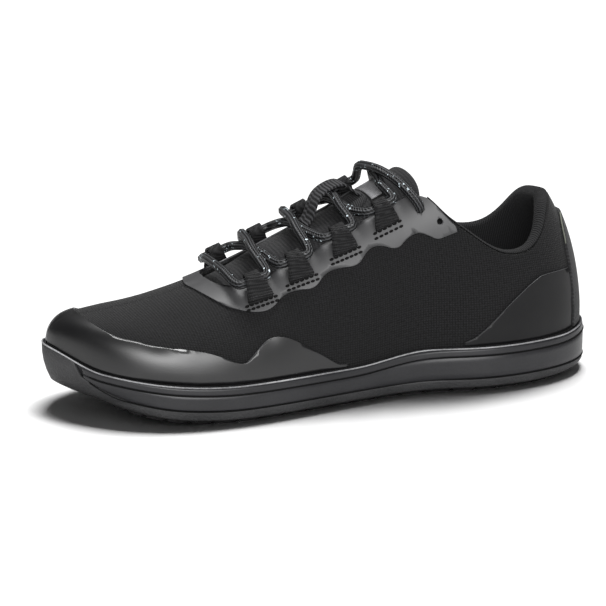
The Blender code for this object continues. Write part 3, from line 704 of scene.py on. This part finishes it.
def dye(tree, shader, pattern, low, high, start, end):
    """Colour a shader between two sRGB tones by a pattern, from its start to its end value."""
    ramp = add_node(tree, "ShaderNodeValToRGB", links={"Fac": pattern})
    for element, position, code in zip(ramp.color_ramp.elements, (start, end), (low, high)):
        element.position = position
        element.color = linear(code)
    tree.links.new(ramp.outputs["Color"], shader.inputs["Base Color"])
    return ramp.outputs["Color"]


def raise_surface(tree, shader, *heights):
    """Raise a shader's surface by patterns: each with a depth in metres and a strength."""
    links = {}
    for pattern, depth, strength in heights:
        links["Height"] = pattern
        raised = add_node(tree, "ShaderNodeBump", {"Distance": depth, "Strength": strength}, links)
        links["Normal"] = raised.outputs["Normal"]
    tree.links.new(links["Normal"], shader.inputs["Normal"])


# A Noise or Voronoi scale is a number of cells for each metre: 900 gives a grain of 1.1 mm.

def woven(name, low, high, roughness, across, along, depth, turn=0.0):
    """Cloth with bands across and along the shoe: their spacings in metres and their depth."""
    made, tree, shader = new_material(name, low, roughness, Sheen_Weight=0.05, Sheen_Roughness=0.5,
                                      Specular_IOR_Level=0.12)
    chart_map = add_node(tree, "ShaderNodeUVMap", {"uv_map": "last"}).outputs["UV"]
    turned = add_node(tree, "ShaderNodeMapping", {"Rotation": (0, 0, turn)},
                      {"Vector": chart_map}).outputs["Vector"]
    bands = [add_node(tree, "ShaderNodeTexWave",
                      {"bands_direction": direction, "Scale": band_scale(period),
                       "Distortion": 0.6, "Detail": 1.0, "Detail Scale": 2.0},
                      {"Vector": turned}).outputs["Fac"]
             for direction, period in (("X", across), ("Y", along))]
    cells = add_node(tree, "ShaderNodeMath", {"operation": "MULTIPLY"},
                     dict(enumerate(bands))).outputs[0]
    cloud = add_node(tree, "ShaderNodeTexNoise", {"Scale": 900, "Detail": 3}, {"Vector": chart_map})
    mixed = add_node(tree, "ShaderNodeMath", {"operation": "MULTIPLY_ADD", 1: 0.65},
                     {0: cells, 2: cloud.outputs["Fac"]}).outputs[0]
    dye(tree, shader, mixed, low, high, 0.35, 1.15)
    raise_surface(tree, shader, (mixed, depth, 0.6))
    return made


def film_finish(name, low, high, roughness, shine=0.5):
    """Thermoplastic film pressed on cloth: smooth and satin, with a faint ripple of the cloth."""
    made, tree, shader = new_material(name, low, roughness, Specular_IOR_Level=shine)
    space = add_node(tree, "ShaderNodeTexCoord").outputs["Object"]
    cloud = add_node(tree, "ShaderNodeTexNoise", {"Scale": 60, "Detail": 4}, {"Vector": space})
    grain = add_node(tree, "ShaderNodeTexNoise", {"Scale": 1600, "Detail": 2}, {"Vector": space})
    dye(tree, shader, cloud.outputs["Fac"], low, high, 0.35, 0.65)
    gloss = add_node(tree, "ShaderNodeMapRange",
                     {"To Min": roughness - 0.03, "To Max": roughness + 0.05},
                     {"Value": cloud.outputs["Fac"]}).outputs["Result"]
    tree.links.new(gloss, shader.inputs["Roughness"])
    raise_surface(tree, shader, (cloud.outputs["Fac"], 0.0004, 0.08),
                  (grain.outputs["Fac"], 0.00005, 0.4))
    return made


def rubber_finish(name, low, high, roughness, grain_depth):
    """Moulded rubber: charcoal and matt, with a fine grain."""
    made, tree, shader = new_material(name, low, roughness, Specular_IOR_Level=0.35)
    space = add_node(tree, "ShaderNodeTexCoord").outputs["Object"]
    cloud = add_node(tree, "ShaderNodeTexNoise", {"Scale": 40, "Detail": 5}, {"Vector": space})
    grain = add_node(tree, "ShaderNodeTexNoise", {"Scale": 900, "Detail": 3}, {"Vector": space})
    speck = add_node(tree, "ShaderNodeMath", {"operation": "MULTIPLY_ADD", 1: 0.5},
                     {0: grain.outputs["Fac"], 2: cloud.outputs["Fac"]}).outputs[0]
    dye(tree, shader, speck, low, high, 0.45, 1.05)
    raise_surface(tree, shader, (grain.outputs["Fac"], grain_depth, 0.5))
    return made


def ribbed(name, low, high, direction, period, depth, roughness=0.7):
    """Grosgrain or rib knit: rounded ribs at a period in metres along one way of the chart."""
    made, tree, shader = new_material(name, low, roughness, Sheen_Weight=0.02,
                                      Specular_IOR_Level=0.2)
    chart_map = add_node(tree, "ShaderNodeUVMap", {"uv_map": "last"}).outputs["UV"]
    ribs = add_node(tree, "ShaderNodeTexWave", {"bands_direction": direction,
                    "Scale": band_scale(period), "Distortion": 0.3}, {"Vector": chart_map})
    other = "X" if direction == "Y" else "Y"
    yarn = add_node(tree, "ShaderNodeTexWave", {"bands_direction": other,
                    "Scale": band_scale(period * 0.7), "Distortion": 1.0}, {"Vector": chart_map})
    mixed = add_node(tree, "ShaderNodeMath", {"operation": "MULTIPLY_ADD", 1: 0.3},
                     {0: yarn.outputs["Fac"], 2: ribs.outputs["Fac"]}).outputs[0]
    # Darker between the ribs as painted shade and lighter on their tops as painted highlight.
    dye(tree, shader, mixed, low, high, 0.35, 1.25)
    raise_surface(tree, shader, (mixed, depth, 0.8))
    return made


def braid_finish():
    """Braided polyester lace: dark yarns with a few pale reflective flecks."""
    made, tree, shader = new_material("braided_lace", "#121213", 0.5, Specular_IOR_Level=0.3)
    chart_map = add_node(tree, "ShaderNodeUVMap", {"uv_map": "last"}).outputs["UV"]
    slant = add_node(tree, "ShaderNodeMapping", {"Rotation": (0, 0, 0.6)},
                     {"Vector": chart_map}).outputs["Vector"]
    yarn = add_node(tree, "ShaderNodeTexWave", {"bands_direction": "X", "Scale": band_scale(0.0013),
                    "Distortion": 0.8}, {"Vector": slant})
    long_way = add_node(tree, "ShaderNodeTexWave", {"bands_direction": "Y",
                        "Scale": band_scale(0.0017), "Distortion": 0.3}, {"Vector": chart_map})
    mixed = add_node(tree, "ShaderNodeMath", {"operation": "MULTIPLY_ADD", 1: 0.35},
                     {0: yarn.outputs["Fac"], 2: long_way.outputs["Fac"]}).outputs[0]
    base = dye(tree, shader, mixed, "#070708", "#3a3b3d", 0.6, 1.3)
    cells = add_node(tree, "ShaderNodeTexVoronoi", {"Scale": 500}, {"Vector": chart_map})
    fleck = add_node(tree, "ShaderNodeMath", {"operation": "LESS_THAN", 1: 0.24},
                     {0: cells.outputs["Distance"]}).outputs[0]
    sparse = add_node(tree, "ShaderNodeTexNoise", {"Scale": 130}, {"Vector": chart_map})
    shown = add_node(tree, "ShaderNodeMath", {"operation": "GREATER_THAN", 1: 0.54},
                     {0: sparse.outputs["Fac"]}).outputs[0]
    both = add_node(tree, "ShaderNodeMath", {"operation": "MULTIPLY"},
                    {0: fleck, 1: shown}).outputs[0]
    # Sockets 6 and 7 of a colour mix are its two colours, and output 2 is the result.
    mix = add_node(tree, "ShaderNodeMix", {"data_type": "RGBA", 7: linear("#c9d6dc")},
                   {"Factor": both, 6: base})
    tree.links.new(mix.outputs[2], shader.inputs["Base Color"])
    raise_surface(tree, shader, (mixed, 0.0006, 0.9))
    return made


def thread(name, colour, roughness):
    """Sewing thread: one matt tone, with a fine twist."""
    made, tree, shader = new_material(name, colour, roughness, Specular_IOR_Level=0.15)
    space = add_node(tree, "ShaderNodeTexCoord").outputs["Object"]
    twist = add_node(tree, "ShaderNodeTexNoise", {"Scale": 1500, "Detail": 2}, {"Vector": space})
    raise_surface(tree, shader, (twist.outputs["Fac"], 0.0002, 0.5))
    return made


# Woven polyester. Its real cells are 0.5 to 0.8 mm wide and are drawn about twice as coarse, so
# that they show: a dull black with a faint grain of cells.
MESH_CLOTH = woven("engineered_mesh", "#070707", "#1b1b1c", 0.8, 0.0013, 0.0010, 0.00035)
TONGUE_CLOTH = woven("tongue_knit", "#161617", "#2a2a2b", 0.85, 0.0016, 0.0012, 0.0004)
FOOTBED_CLOTH = woven("insole_knit", "#131314", "#1c1c1d", 0.9, 0.0016, 0.0016, 0.0003)
# Twill set on the slant: the charcoal of the padded strip at the heel.
STRIP_CLOTH = woven("heel_strip_twill", "#1c1c1d", "#343435", 0.85, 0.0012, 0.0012, 0.0003,
                    turn=0.7)
# Satin weave, drawn coarse: the pale grey of the bare label.
LABEL_CLOTH = woven("woven_label", "#6e6e70", "#949496", 0.7, 0.0008, 0.0008, 0.00015)
# Rib knit and webbing: fine parallel ribs, darker between them as painted shade and lighter on top
# as painted highlight.
LINING = ribbed("collar_rib_knit", "#0c0c0d", "#1c1c1d", "X", 0.0011, 0.0004, 0.85)
TAB_KNIT = ribbed("tab_rib_knit", "#121213", "#2b2b2c", "X", 0.0012, 0.0003, 0.8)
GROSGRAIN = ribbed("grosgrain_webbing", "#060607", "#1b1b1c", "Y", 0.0013, 0.0004)
KEEPER_WEB = ribbed("keeper_webbing", "#0c0c0d", "#3c3c3e", "X", 0.0016, 0.0005)
BRAID = braid_finish()
# Polyurethane film pressed on cloth: satin highlights on the toe, flat ones at the heel, and the
# same film around the throat in a paler grey, a painted reflection of the overhead light. Its cut
# edge is a paler grey still, a painted highlight for the thin light line it catches.
CAP_FILM = film_finish("pressed_film", "#0b0b0c", "#0f0f10", 0.37, 0.62)
COUNTER_FILM = film_finish("pressed_matt_film", "#0d0d0e", "#121213", 0.42, 0.2)
EYESTAY_FILM = film_finish("pressed_film_painted_reflection", "#343435", "#3e3e3f", 0.50)
CUT_EDGE_HIGHLIGHT = film_finish("film_cut_edge_painted_highlight", "#3a3a3c", "#444446", 0.40)
# Moulded rubber: a sandy grain on the outsole and its bumper, and a smoother cup above it.
SOLE_RUBBER = rubber_finish("moulded_outsole_rubber", "#1a1a1b", "#303031", 0.60, 0.0009)
CUP_RUBBER = rubber_finish("moulded_cup_rubber", "#19191b", "#232325", 0.40, 0.00015)
# Pale grey rubber for a strand along the rim: a painted highlight on the cup's lip.
RIM_HIGHLIGHT_RUBBER = rubber_finish("rim_painted_highlight_rubber", "#343436", "#98989a", 0.33, 0.0001)
# Dull black strands laid in the sole's grooves as painted shade, and sewing threads.
LINE_SHADE = thread("groove_shade", "#060606", 0.9)
BLACK_THREAD = thread("black_sewing_thread", "#040404", 0.8)
PALE_THREAD = thread("pale_sewing_thread", "#5e6058", 0.7)


# Sole and insole

# The bumper's wall rolls under towards the ground in front of the ball. Lengths in metres.
BUMPER_START = -0.085
BUMPER_FULL = -0.125
BUMPER_FOOT = 0.011
BUMPER_TOP = 0.031
BUMPER_ROLL = 0.0065
BUMPER_CENTRE = Vector((-0.085, 0.012, 0))
BUMPER_CORE = 0.02
# Edges sharper than these stay sharp when a piece is smoothed.
SOLE_ANGLE = math.radians(28)
FOOTBED_ANGLE = math.radians(40)
FILM_ANGLE = math.radians(60)
WEBBING_ANGLE = math.radians(70)


def roll_bumper(piece):
    """Draw the lower part of the bumper in, more towards its foot."""
    for vertex in piece.data.vertices:
        share = smooth(BUMPER_START - vertex.co.x, 0, BUMPER_START - BUMPER_FULL)
        low = min(max((BUMPER_TOP - vertex.co.z) / (BUMPER_TOP - BUMPER_FOOT), 0), 1)
        away = vertex.co - BUMPER_CENTRE
        away.z = 0
        reach = away.length
        if share > 0 and reach > BUMPER_CORE:
            vertex.co -= away / reach * BUMPER_ROLL * share * low**2


def dress_sole():
    """Outsole, cup and footbed."""
    for node, finish, slot in (("outsole", SOLE_RUBBER, "sole_rubber"),
                               ("midsole", CUP_RUBBER, "midsole_foam")):
        piece = cover(node, 2, SOLE_ANGLE)
        roll_bumper(piece)
        finish_piece(piece, node, finish)
    footbed = cover("insole", 1, FOOTBED_ANGLE)
    lay_chart(footbed, chart(footbed))
    finish_piece(footbed, "insole", FOOTBED_CLOTH)


# Upper and its overlays

# Level of the heel strip's face over the last.
STRIP_FACE = 0.0017
# Edges around a film that are eased: how sharp they are at least, the share v from which on, and
# the cosine between the two runs at a vertex below which they are one line.
EASED_ANGLE = math.radians(50)
EASED_SHARE = 0.1
EASED_RUN = -0.5


def ease_edges(piece, places, rounds):
    """Take the small kinks out of the sharp edges around a film, but not at its foot."""
    form = bmesh.new()
    form.from_mesh(piece.data)
    sharp = {edge_of for edge_of in form.edges if edge_of.calc_face_angle(0) > EASED_ANGLE}
    chains = []
    for vertex in form.verts:
        ends = [edge_of.other_vert(vertex) for edge_of in vertex.link_edges if edge_of in sharp]
        if len(ends) < 2 or places[vertex.index, 2] < EASED_SHARE:
            continue
        runs = {end: (end.co - vertex.co).normalized() for end in ends}
        a, b = min(itertools.combinations(ends, 2),
                   key=lambda pair: runs[pair[0]].dot(runs[pair[1]]))
        if runs[a].dot(runs[b]) < EASED_RUN:
            chains.append((vertex, a, b))
    for _ in range(rounds):
        spots = [(vertex.co * 2 + a.co + b.co) / 4 for vertex, a, b in chains]
        for (vertex, _, _), spot in zip(chains, spots):
            vertex.co = spot
    form.to_mesh(piece.data)
    form.free()


def dress_upper():
    """Upper, its films and the heel strip, each with its face's level and rounds of easing."""
    films = [("upper", MESH_CLOTH, "upper_fabric", 0, 0),
             ("toe_cap", CAP_FILM, "overlay_film", FILM_FACE, 10),
             ("eyestay", EYESTAY_FILM, "overlay_film", FILM_FACE, 8),
             ("heel_counter_lateral", COUNTER_FILM, "overlay_film", FILM_FACE, 16),
             ("heel_counter_medial", COUNTER_FILM, "overlay_film", FILM_FACE, 16),
             ("heel_strip", STRIP_CLOTH, "upper_fabric", STRIP_FACE, 0)]
    for node, finish, slot, level, rounds in films:
        piece = cover(node, 2, FILM_ANGLE if level else None)
        places = chart(piece)
        ease_edges(piece, places, rounds)
        lay_chart(piece, places)
        lay_on_last(piece, places, level)
        press_creases(piece, places)
        finish_piece(piece, node, finish)
        if slot == "overlay_film":
            # Paler grey on the films' cut edges: a painted highlight.
            paint_cut_edge_highlights(piece, places, CUT_EDGE_HIGHLIGHT)


def dress_tongue():
    """Padded tongue and its bare label."""
    tongue = cover("tongue", 3)
    lay_chart(tongue, chart(tongue))
    finish_piece(tongue, "tongue", TONGUE_CLOTH)
    label = cover("tongue_label", 2, FILM_ANGLE)
    lay_chart(label, chart(label))
    finish_piece(label, "tongue_label", LABEL_CLOTH)


# Rounded knit tab on the tongue in front of the label: rows of its ends, half-width, share by
# which its ends are narrower, rise over the tongue, how deep its edge sits in it, its thickness
# and the vertices of its grid.
TAB_FRONT_ROW = 7.22
TAB_REAR_ROW = 6.74
TAB_HALF_WIDTH = 0.0125
TAB_TAPER = 0.35
TAB_RISE = 0.0022
TAB_SINK = 0.0004
TAB_THICKNESS = 0.0008
TAB_COLUMNS = 25
TAB_LINES = 17


def dress_tab():
    """Domed tab laid on the tongue."""
    mesh = frame["nodes"]["tongue"].data
    tongue = BVHTree.FromPolygons([vertex.co for vertex in mesh.vertices],
                                  [face.vertices for face in mesh.polygons])

    def place(column, line):
        a = column / (TAB_COLUMNS - 1) * 2 - 1
        b = line / (TAB_LINES - 1) * 2 - 1
        row = (TAB_FRONT_ROW + TAB_REAR_ROW) / 2 + a * (TAB_FRONT_ROW - TAB_REAR_ROW) / 2
        middle = (surface(LATERAL, row, 1) + surface(MEDIAL, row, 1)) / 2
        sideways = surface(LATERAL, row, 0.97) - surface(MEDIAL, row, 0.97)
        sideways /= np.linalg.norm(sideways)
        width = TAB_HALF_WIDTH * (1 - TAB_TAPER * a * a)
        start = Vector(middle + sideways * b * width) + Vector((0, 0, 0.03))
        spot = tongue.ray_cast(start, Vector((0, 0, -1)))[0]
        edge_share = (1 - a**6) * (1 - b**6)
        rise = TAB_RISE * edge_share**0.5 - TAB_SINK
        return spot + Vector((0, 0, rise)), (column * 0.0006, b * width)

    made = grid_piece("tongue_tab", TAB_COLUMNS, TAB_LINES, place)
    thick = made.modifiers.new("thick", "SOLIDIFY")
    thick.thickness = TAB_THICKNESS
    thick.offset = -1
    select_only(made)
    bpy.ops.object.modifier_apply(modifier=thick.name)
    finish_piece(made, None, TAB_KNIT)


def dress_collar():
    """Padded collar lining."""
    lining = cover("collar_lining", 2)
    lay_chart(lining, chart(lining))
    finish_piece(lining, "collar_lining", LINING)


# Lacing

# Shares below a loop's base at which its two rows of tacking stitches run.
TACK_DROPS = (-0.002, -0.034)
# Rows that each line of tacking runs through, from the loop's own row.
TACK_SHIFTS = (-0.32, -0.1, 0.1, 0.32)
# A loop narrows to this share of its width at the eye.
EYE_SHARE = 0.68


def narrow_loop(loop, places, side, row, base):
    """Draw a loop's webbing together towards its eye."""
    reach = LOOP_REACH / rib_length(side, row)
    ahead = surface(side, row + 0.1, base) - surface(side, row - 0.1, base)
    ahead = Vector(ahead / np.linalg.norm(ahead))
    middle = Vector(surface(side, row, base))
    for vertex, (_, _, v) in zip(loop.data.vertices, places):
        share = smooth(v - base, 0.1 * reach, 0.8 * reach) * (1 - EYE_SHARE)
        vertex.co -= ahead * (vertex.co - middle).dot(ahead) * share


def dress_loops():
    """Webbing loops, each with two rows of tacking stitches across its base."""
    for side, word in ((LATERAL, "lateral"), (MEDIAL, "medial")):
        for number, (row, base) in enumerate(LOOPS):
            node = "lace_loop_%s_%d" % (word, number + 1)
            loop = cover(node, 2, WEBBING_ANGLE)
            places = chart(loop)
            lay_chart(loop, places)
            narrow_loop(loop, places, side, row, base)
            finish_piece(loop, node, GROSGRAIN)
            for line, drop in enumerate(TACK_DROPS):
                places = [(side, row + shift, base + drop) for shift in TACK_SHIFTS]
                stitches("%s_stitches_%d" % (node, line + 1), places, BLACK_THREAD)


def through_eye(side, number):
    """Points of the lace inside one loop's eye, from its front to its rear."""
    row, base = LOOPS[number]
    v = base + 0.75 * LOOP_REACH / rib_length(side, row)
    level = LOOP_BASE + 0.52 * EYE_HEIGHT
    return [(row + shift, v, side, level) for shift in (0.27, 0.0, -0.27)]


def lace_leg(side):
    """Route of the lace from the front bar up to a top eyelet: row, share v, side, height."""
    leg = []
    here = side
    for number, row in enumerate(CROSSINGS):
        over = (number % 2 == 0) == (side == LATERAL)
        level = UPPER_LEVEL if over else LOWER_LEVEL
        leg += through_eye(here, number)
        leg += [(row + 0.07, 0.86, here, level), (row + 0.02, 0.95, here, level),
                (row - 0.02, 0.95, -here, level), (row - 0.07, 0.86, -here, level)]
        here = -here
    leg += through_eye(here, len(CROSSINGS))
    top = (UPPER_LEVEL if side == LATERAL else LOWER_LEVEL) + 0.001
    row, v = EYELETS[0]
    leg += [(6.42, 0.90, here, top), (6.36, 0.96, here, top), (6.28, 0.94, -here, top),
            (6.12, 0.85, -here, END_LEVEL + 0.0022), (6.00, v + 0.07, -here, END_LEVEL + 0.0010),
            (row, v + 0.015, -here, END_LEVEL), (row, v, -here, -0.0010)]
    return leg


def dress_lace():
    """Round braided lace: one leg, the bar at the throat's front and the other leg."""
    high = LOWER_LEVEL + 0.0016
    low = LOWER_LEVEL + 0.0006
    bar = [(9.60, 0.84, MEDIAL, high), (9.60, 0.97, MEDIAL, low),
           (9.60, 0.97, LATERAL, low), (9.60, 0.84, LATERAL, high)]
    route = lace_leg(MEDIAL)[::-1] + bar + lace_leg(LATERAL)
    points = smooth_curve([above(side, row, v, height) for row, v, side, height in route], 0.0011)
    made = strand("lace_braid", points, LACE_DIAMETER / 2, sides=24, ribs=8, rib_depth=0.06)
    finish_piece(made, "lace", BRAID)


def dress_keeper():
    """Webbing bridge that holds the lace on the tongue."""
    keeper = cover("lace_keeper", 2, WEBBING_ANGLE)
    lay_chart(keeper, chart(keeper))
    finish_piece(keeper, "lace_keeper", KEEPER_WEB)


# Edges, seams and stitches

def paint_cut_edge_highlights(piece, places, finish):
    """Paler second material as painted highlight on the narrow faces standing up from the last
    around a film.
    """
    piece.data.materials.append(finish)
    normals = last_normals(places)
    for face in piece.data.polygons:
        outward = Vector(normals[list(face.vertices)].mean(axis=0))
        if abs(face.normal.dot(outward)) < 0.5 * outward.length:
            face.material_index = 1


# Pale strand around the top of the cup, a painted highlight on its lip: how far in from the
# outline, rise over the rim and radius.
RIM_EDGE_INSET = 0.0011
RIM_EDGE_RISE = -0.0001
RIM_EDGE_RADIUS = 0.0004

# The cup's two fine lines, dark strands laid in its grooves as painted shade: rows where the lower
# one starts to rise and where both end, height of the outsole's wall, how far the upper line lies
# below the rim and how far the lower one ends below that, how far in they lie from the outline,
# and their radius.
WRAP_START_ROW = 12.5
WRAP_NOTCH_ROW = 13.4
OUTSOLE_HEIGHT = 0.0080
LIP_HEIGHT = 0.0040
SHOULDER_DROP = 0.0012
LINE_INSET = 0.0002
LINE_RADIUS = 0.00035
# Steps of the sole's strands, in rows and along their smooth path, and the sides of a strand.
LINE_ROW_STEP = 0.12
LINE_STEP = 0.002
LINE_SIDES = 6
# Pale thread along the heel strip's upper edge: rows of its ends, its points, its share past the
# edge, level over the last and radius.
STRIP_THREAD_ROWS = (2.05, 1.15)
STRIP_THREAD_POINTS = 16
STRIP_THREAD_SHIFT = 0.004
STRIP_THREAD_LEVEL = 0.0012
STRIP_THREAD_RADIUS = 0.0004


def parting(row, along):
    """Height of the joint between outsole and midsole, up to the notch at the toe."""
    low = OUTSOLE_HEIGHT + spring(along)
    shoulder = rim_height(along) - LIP_HEIGHT - SHOULDER_DROP
    return low + (shoulder - low) * smooth(row, WRAP_START_ROW, WRAP_NOTCH_ROW + 0.3)


def ring_strand(name, lateral, medial, inset, height_of, radius, finish):
    """Thin strand on the cup through rows of the lateral side and then of the medial side."""
    points = []
    for side, rows in ((LATERAL, lateral), (MEDIAL, medial)):
        for row in rows:
            foot, normal = outline(side, row)
            spot = foot - normal * inset
            points.append(world(*spot, height_of(row, foot[0])))
    made = strand(name, smooth_curve(points, LINE_STEP), radius, LINE_SIDES)
    roll_bumper(made)
    finish_piece(made, None, finish)


def dress_edges():
    """Pale strand around the cup's rim as a painted highlight, dark strands in its two grooves as
    painted shade, and the heel strip's thread.
    """
    rows = np.arange(0.0, TOE_ROW, LINE_ROW_STEP)
    ring_strand("rim_painted_highlight", rows, [*(TOE_ROW - rows), 0.0], RIM_EDGE_INSET,
                lambda row, along: rim_height(along) + RIM_EDGE_RISE, RIM_EDGE_RADIUS, RIM_HIGHLIGHT_RUBBER)
    rows = np.arange(0.0, WRAP_NOTCH_ROW, LINE_ROW_STEP)
    for name, height_of in (
            ("upper_sole_line", lambda row, along: rim_height(along) - LIP_HEIGHT),
            ("lower_sole_line", parting)):
        ring_strand(name, rows[::-1], rows[1:], LINE_INSET, height_of, LINE_RADIUS, LINE_SHADE)
    for side, word in ((LATERAL, "lateral"), (MEDIAL, "medial")):
        rows = np.linspace(*STRIP_THREAD_ROWS, STRIP_THREAD_POINTS)
        places = [(side, row, table(HEEL_STRIP_EDGE, row) + STRIP_THREAD_SHIFT) for row in rows]
        heights = STRIP_THREAD_LEVEL - crease_depths(places)
        path = smooth_curve([above(*place, high) for place, high in zip(places, heights)], 0.0015)
        made = strand("heel_strip_edge_" + word, path, STRIP_THREAD_RADIUS, LINE_SIDES)
        finish_piece(made, None, PALE_THREAD)


# Stage, camera and light

# Camera: turn from the lateral side, rise over the floor, distance, focal length in pixels of the
# square picture, and where it aims beside its target, all from the photograph's view.
PICTURE_SIZE = 606
CAMERA_TURN = math.radians(-20.5)
CAMERA_RISE = math.radians(15.5)
CAMERA_DISTANCE = 1.2
FOCAL_PIXELS = 2432.6
SENSOR = 0.036
TARGET = Vector((0, MIDDLE, 0.045))
AIM_RIGHT = -0.01053
AIM_UP = -0.00101
# Stage: side of the floor, brightness of the surroundings, the point that the lamps face, and the
# place, size and power of each lamp.
FLOOR_SIZE = 30
SURROUND = 0.07
LIT_POINT = (0, 0, 0.05)
OVERHEAD = ((0.7, 1.0, 4.6), (2.0, 1.6), 318)
FRONT = ((-0.75, -3.0, 1.5), (3.4, 1.3), 185)


def facing(spot, target):
    """Matrix of a lamp or camera that stands at a spot and looks at a target."""
    turn = (Vector(target) - Vector(spot)).to_track_quat("-Z", "Y").to_matrix().to_4x4()
    return Matrix.Translation(Vector(spot)) @ turn


def add_camera():
    """Camera at the photograph's viewing angle, aimed beside the target without a shift."""
    back = Vector((math.sin(CAMERA_TURN) * math.cos(CAMERA_RISE),
                   -math.cos(CAMERA_TURN) * math.cos(CAMERA_RISE), math.sin(CAMERA_RISE)))
    right = (-back).cross(Vector((0, 0, 1))).normalized()
    up = right.cross(-back)
    spot = TARGET + back * CAMERA_DISTANCE
    aim = TARGET + right * AIM_RIGHT + up * AIM_UP
    data = bpy.data.cameras.new("photo_camera")
    data.sensor_width = SENSOR * 1000
    data.lens = FOCAL_PIXELS * data.sensor_width / PICTURE_SIZE
    made = bpy.data.objects.new("photo_camera", data)
    bpy.context.scene.collection.objects.link(made)
    made.matrix_world = facing(spot, aim)
    bpy.context.scene.camera = made


def add_softbox(name, spot, size, power):
    """Rectangular area lamp that faces the shoe."""
    data = bpy.data.lights.new(name, "AREA")
    data.shape = "RECTANGLE"
    data.size, data.size_y = size
    data.energy = power
    made = bpy.data.objects.new(name, data)
    bpy.context.scene.collection.objects.link(made)
    made.matrix_world = facing(spot, LIT_POINT)
    return made


def add_stage():
    """White floor, faint white surroundings, a lamp overhead and one in front."""
    bpy.ops.mesh.primitive_plane_add(size=FLOOR_SIZE)
    floor = bpy.context.object
    floor.name = "studio_floor"
    paper, _, _ = new_material("white_paper", "#f4f4f4", 0.9, Specular_IOR_Level=0.1)
    floor.data.materials.append(paper)
    world = bpy.data.worlds.new("studio")
    world.use_nodes = True
    world.node_tree.nodes["Background"].inputs["Color"].default_value = (1, 1, 1, 1)
    world.node_tree.nodes["Background"].inputs["Strength"].default_value = SURROUND
    bpy.context.scene.world = world
    bpy.context.scene.view_settings.view_transform = "Standard"
    add_softbox("overhead_softbox", *OVERHEAD)
    front = add_softbox("front_softbox", *FRONT)
    # The lamp in front lights the shoe alone, so that the shadow on the floor stays dark.
    lit = bpy.data.collections.new("lit_by_front")
    for thing in bpy.context.scene.objects:
        if thing.type == "MESH" and thing != floor:
            lit.objects.link(thing)
    front.light_linking.receiver_collection = lit


def main():
    """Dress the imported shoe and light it."""
    dress_sole()
    dress_upper()
    dress_tongue()
    dress_tab()
    dress_collar()
    dress_loops()
    dress_lace()
    dress_keeper()
    dress_edges()
    add_stage()
    add_camera()


main()
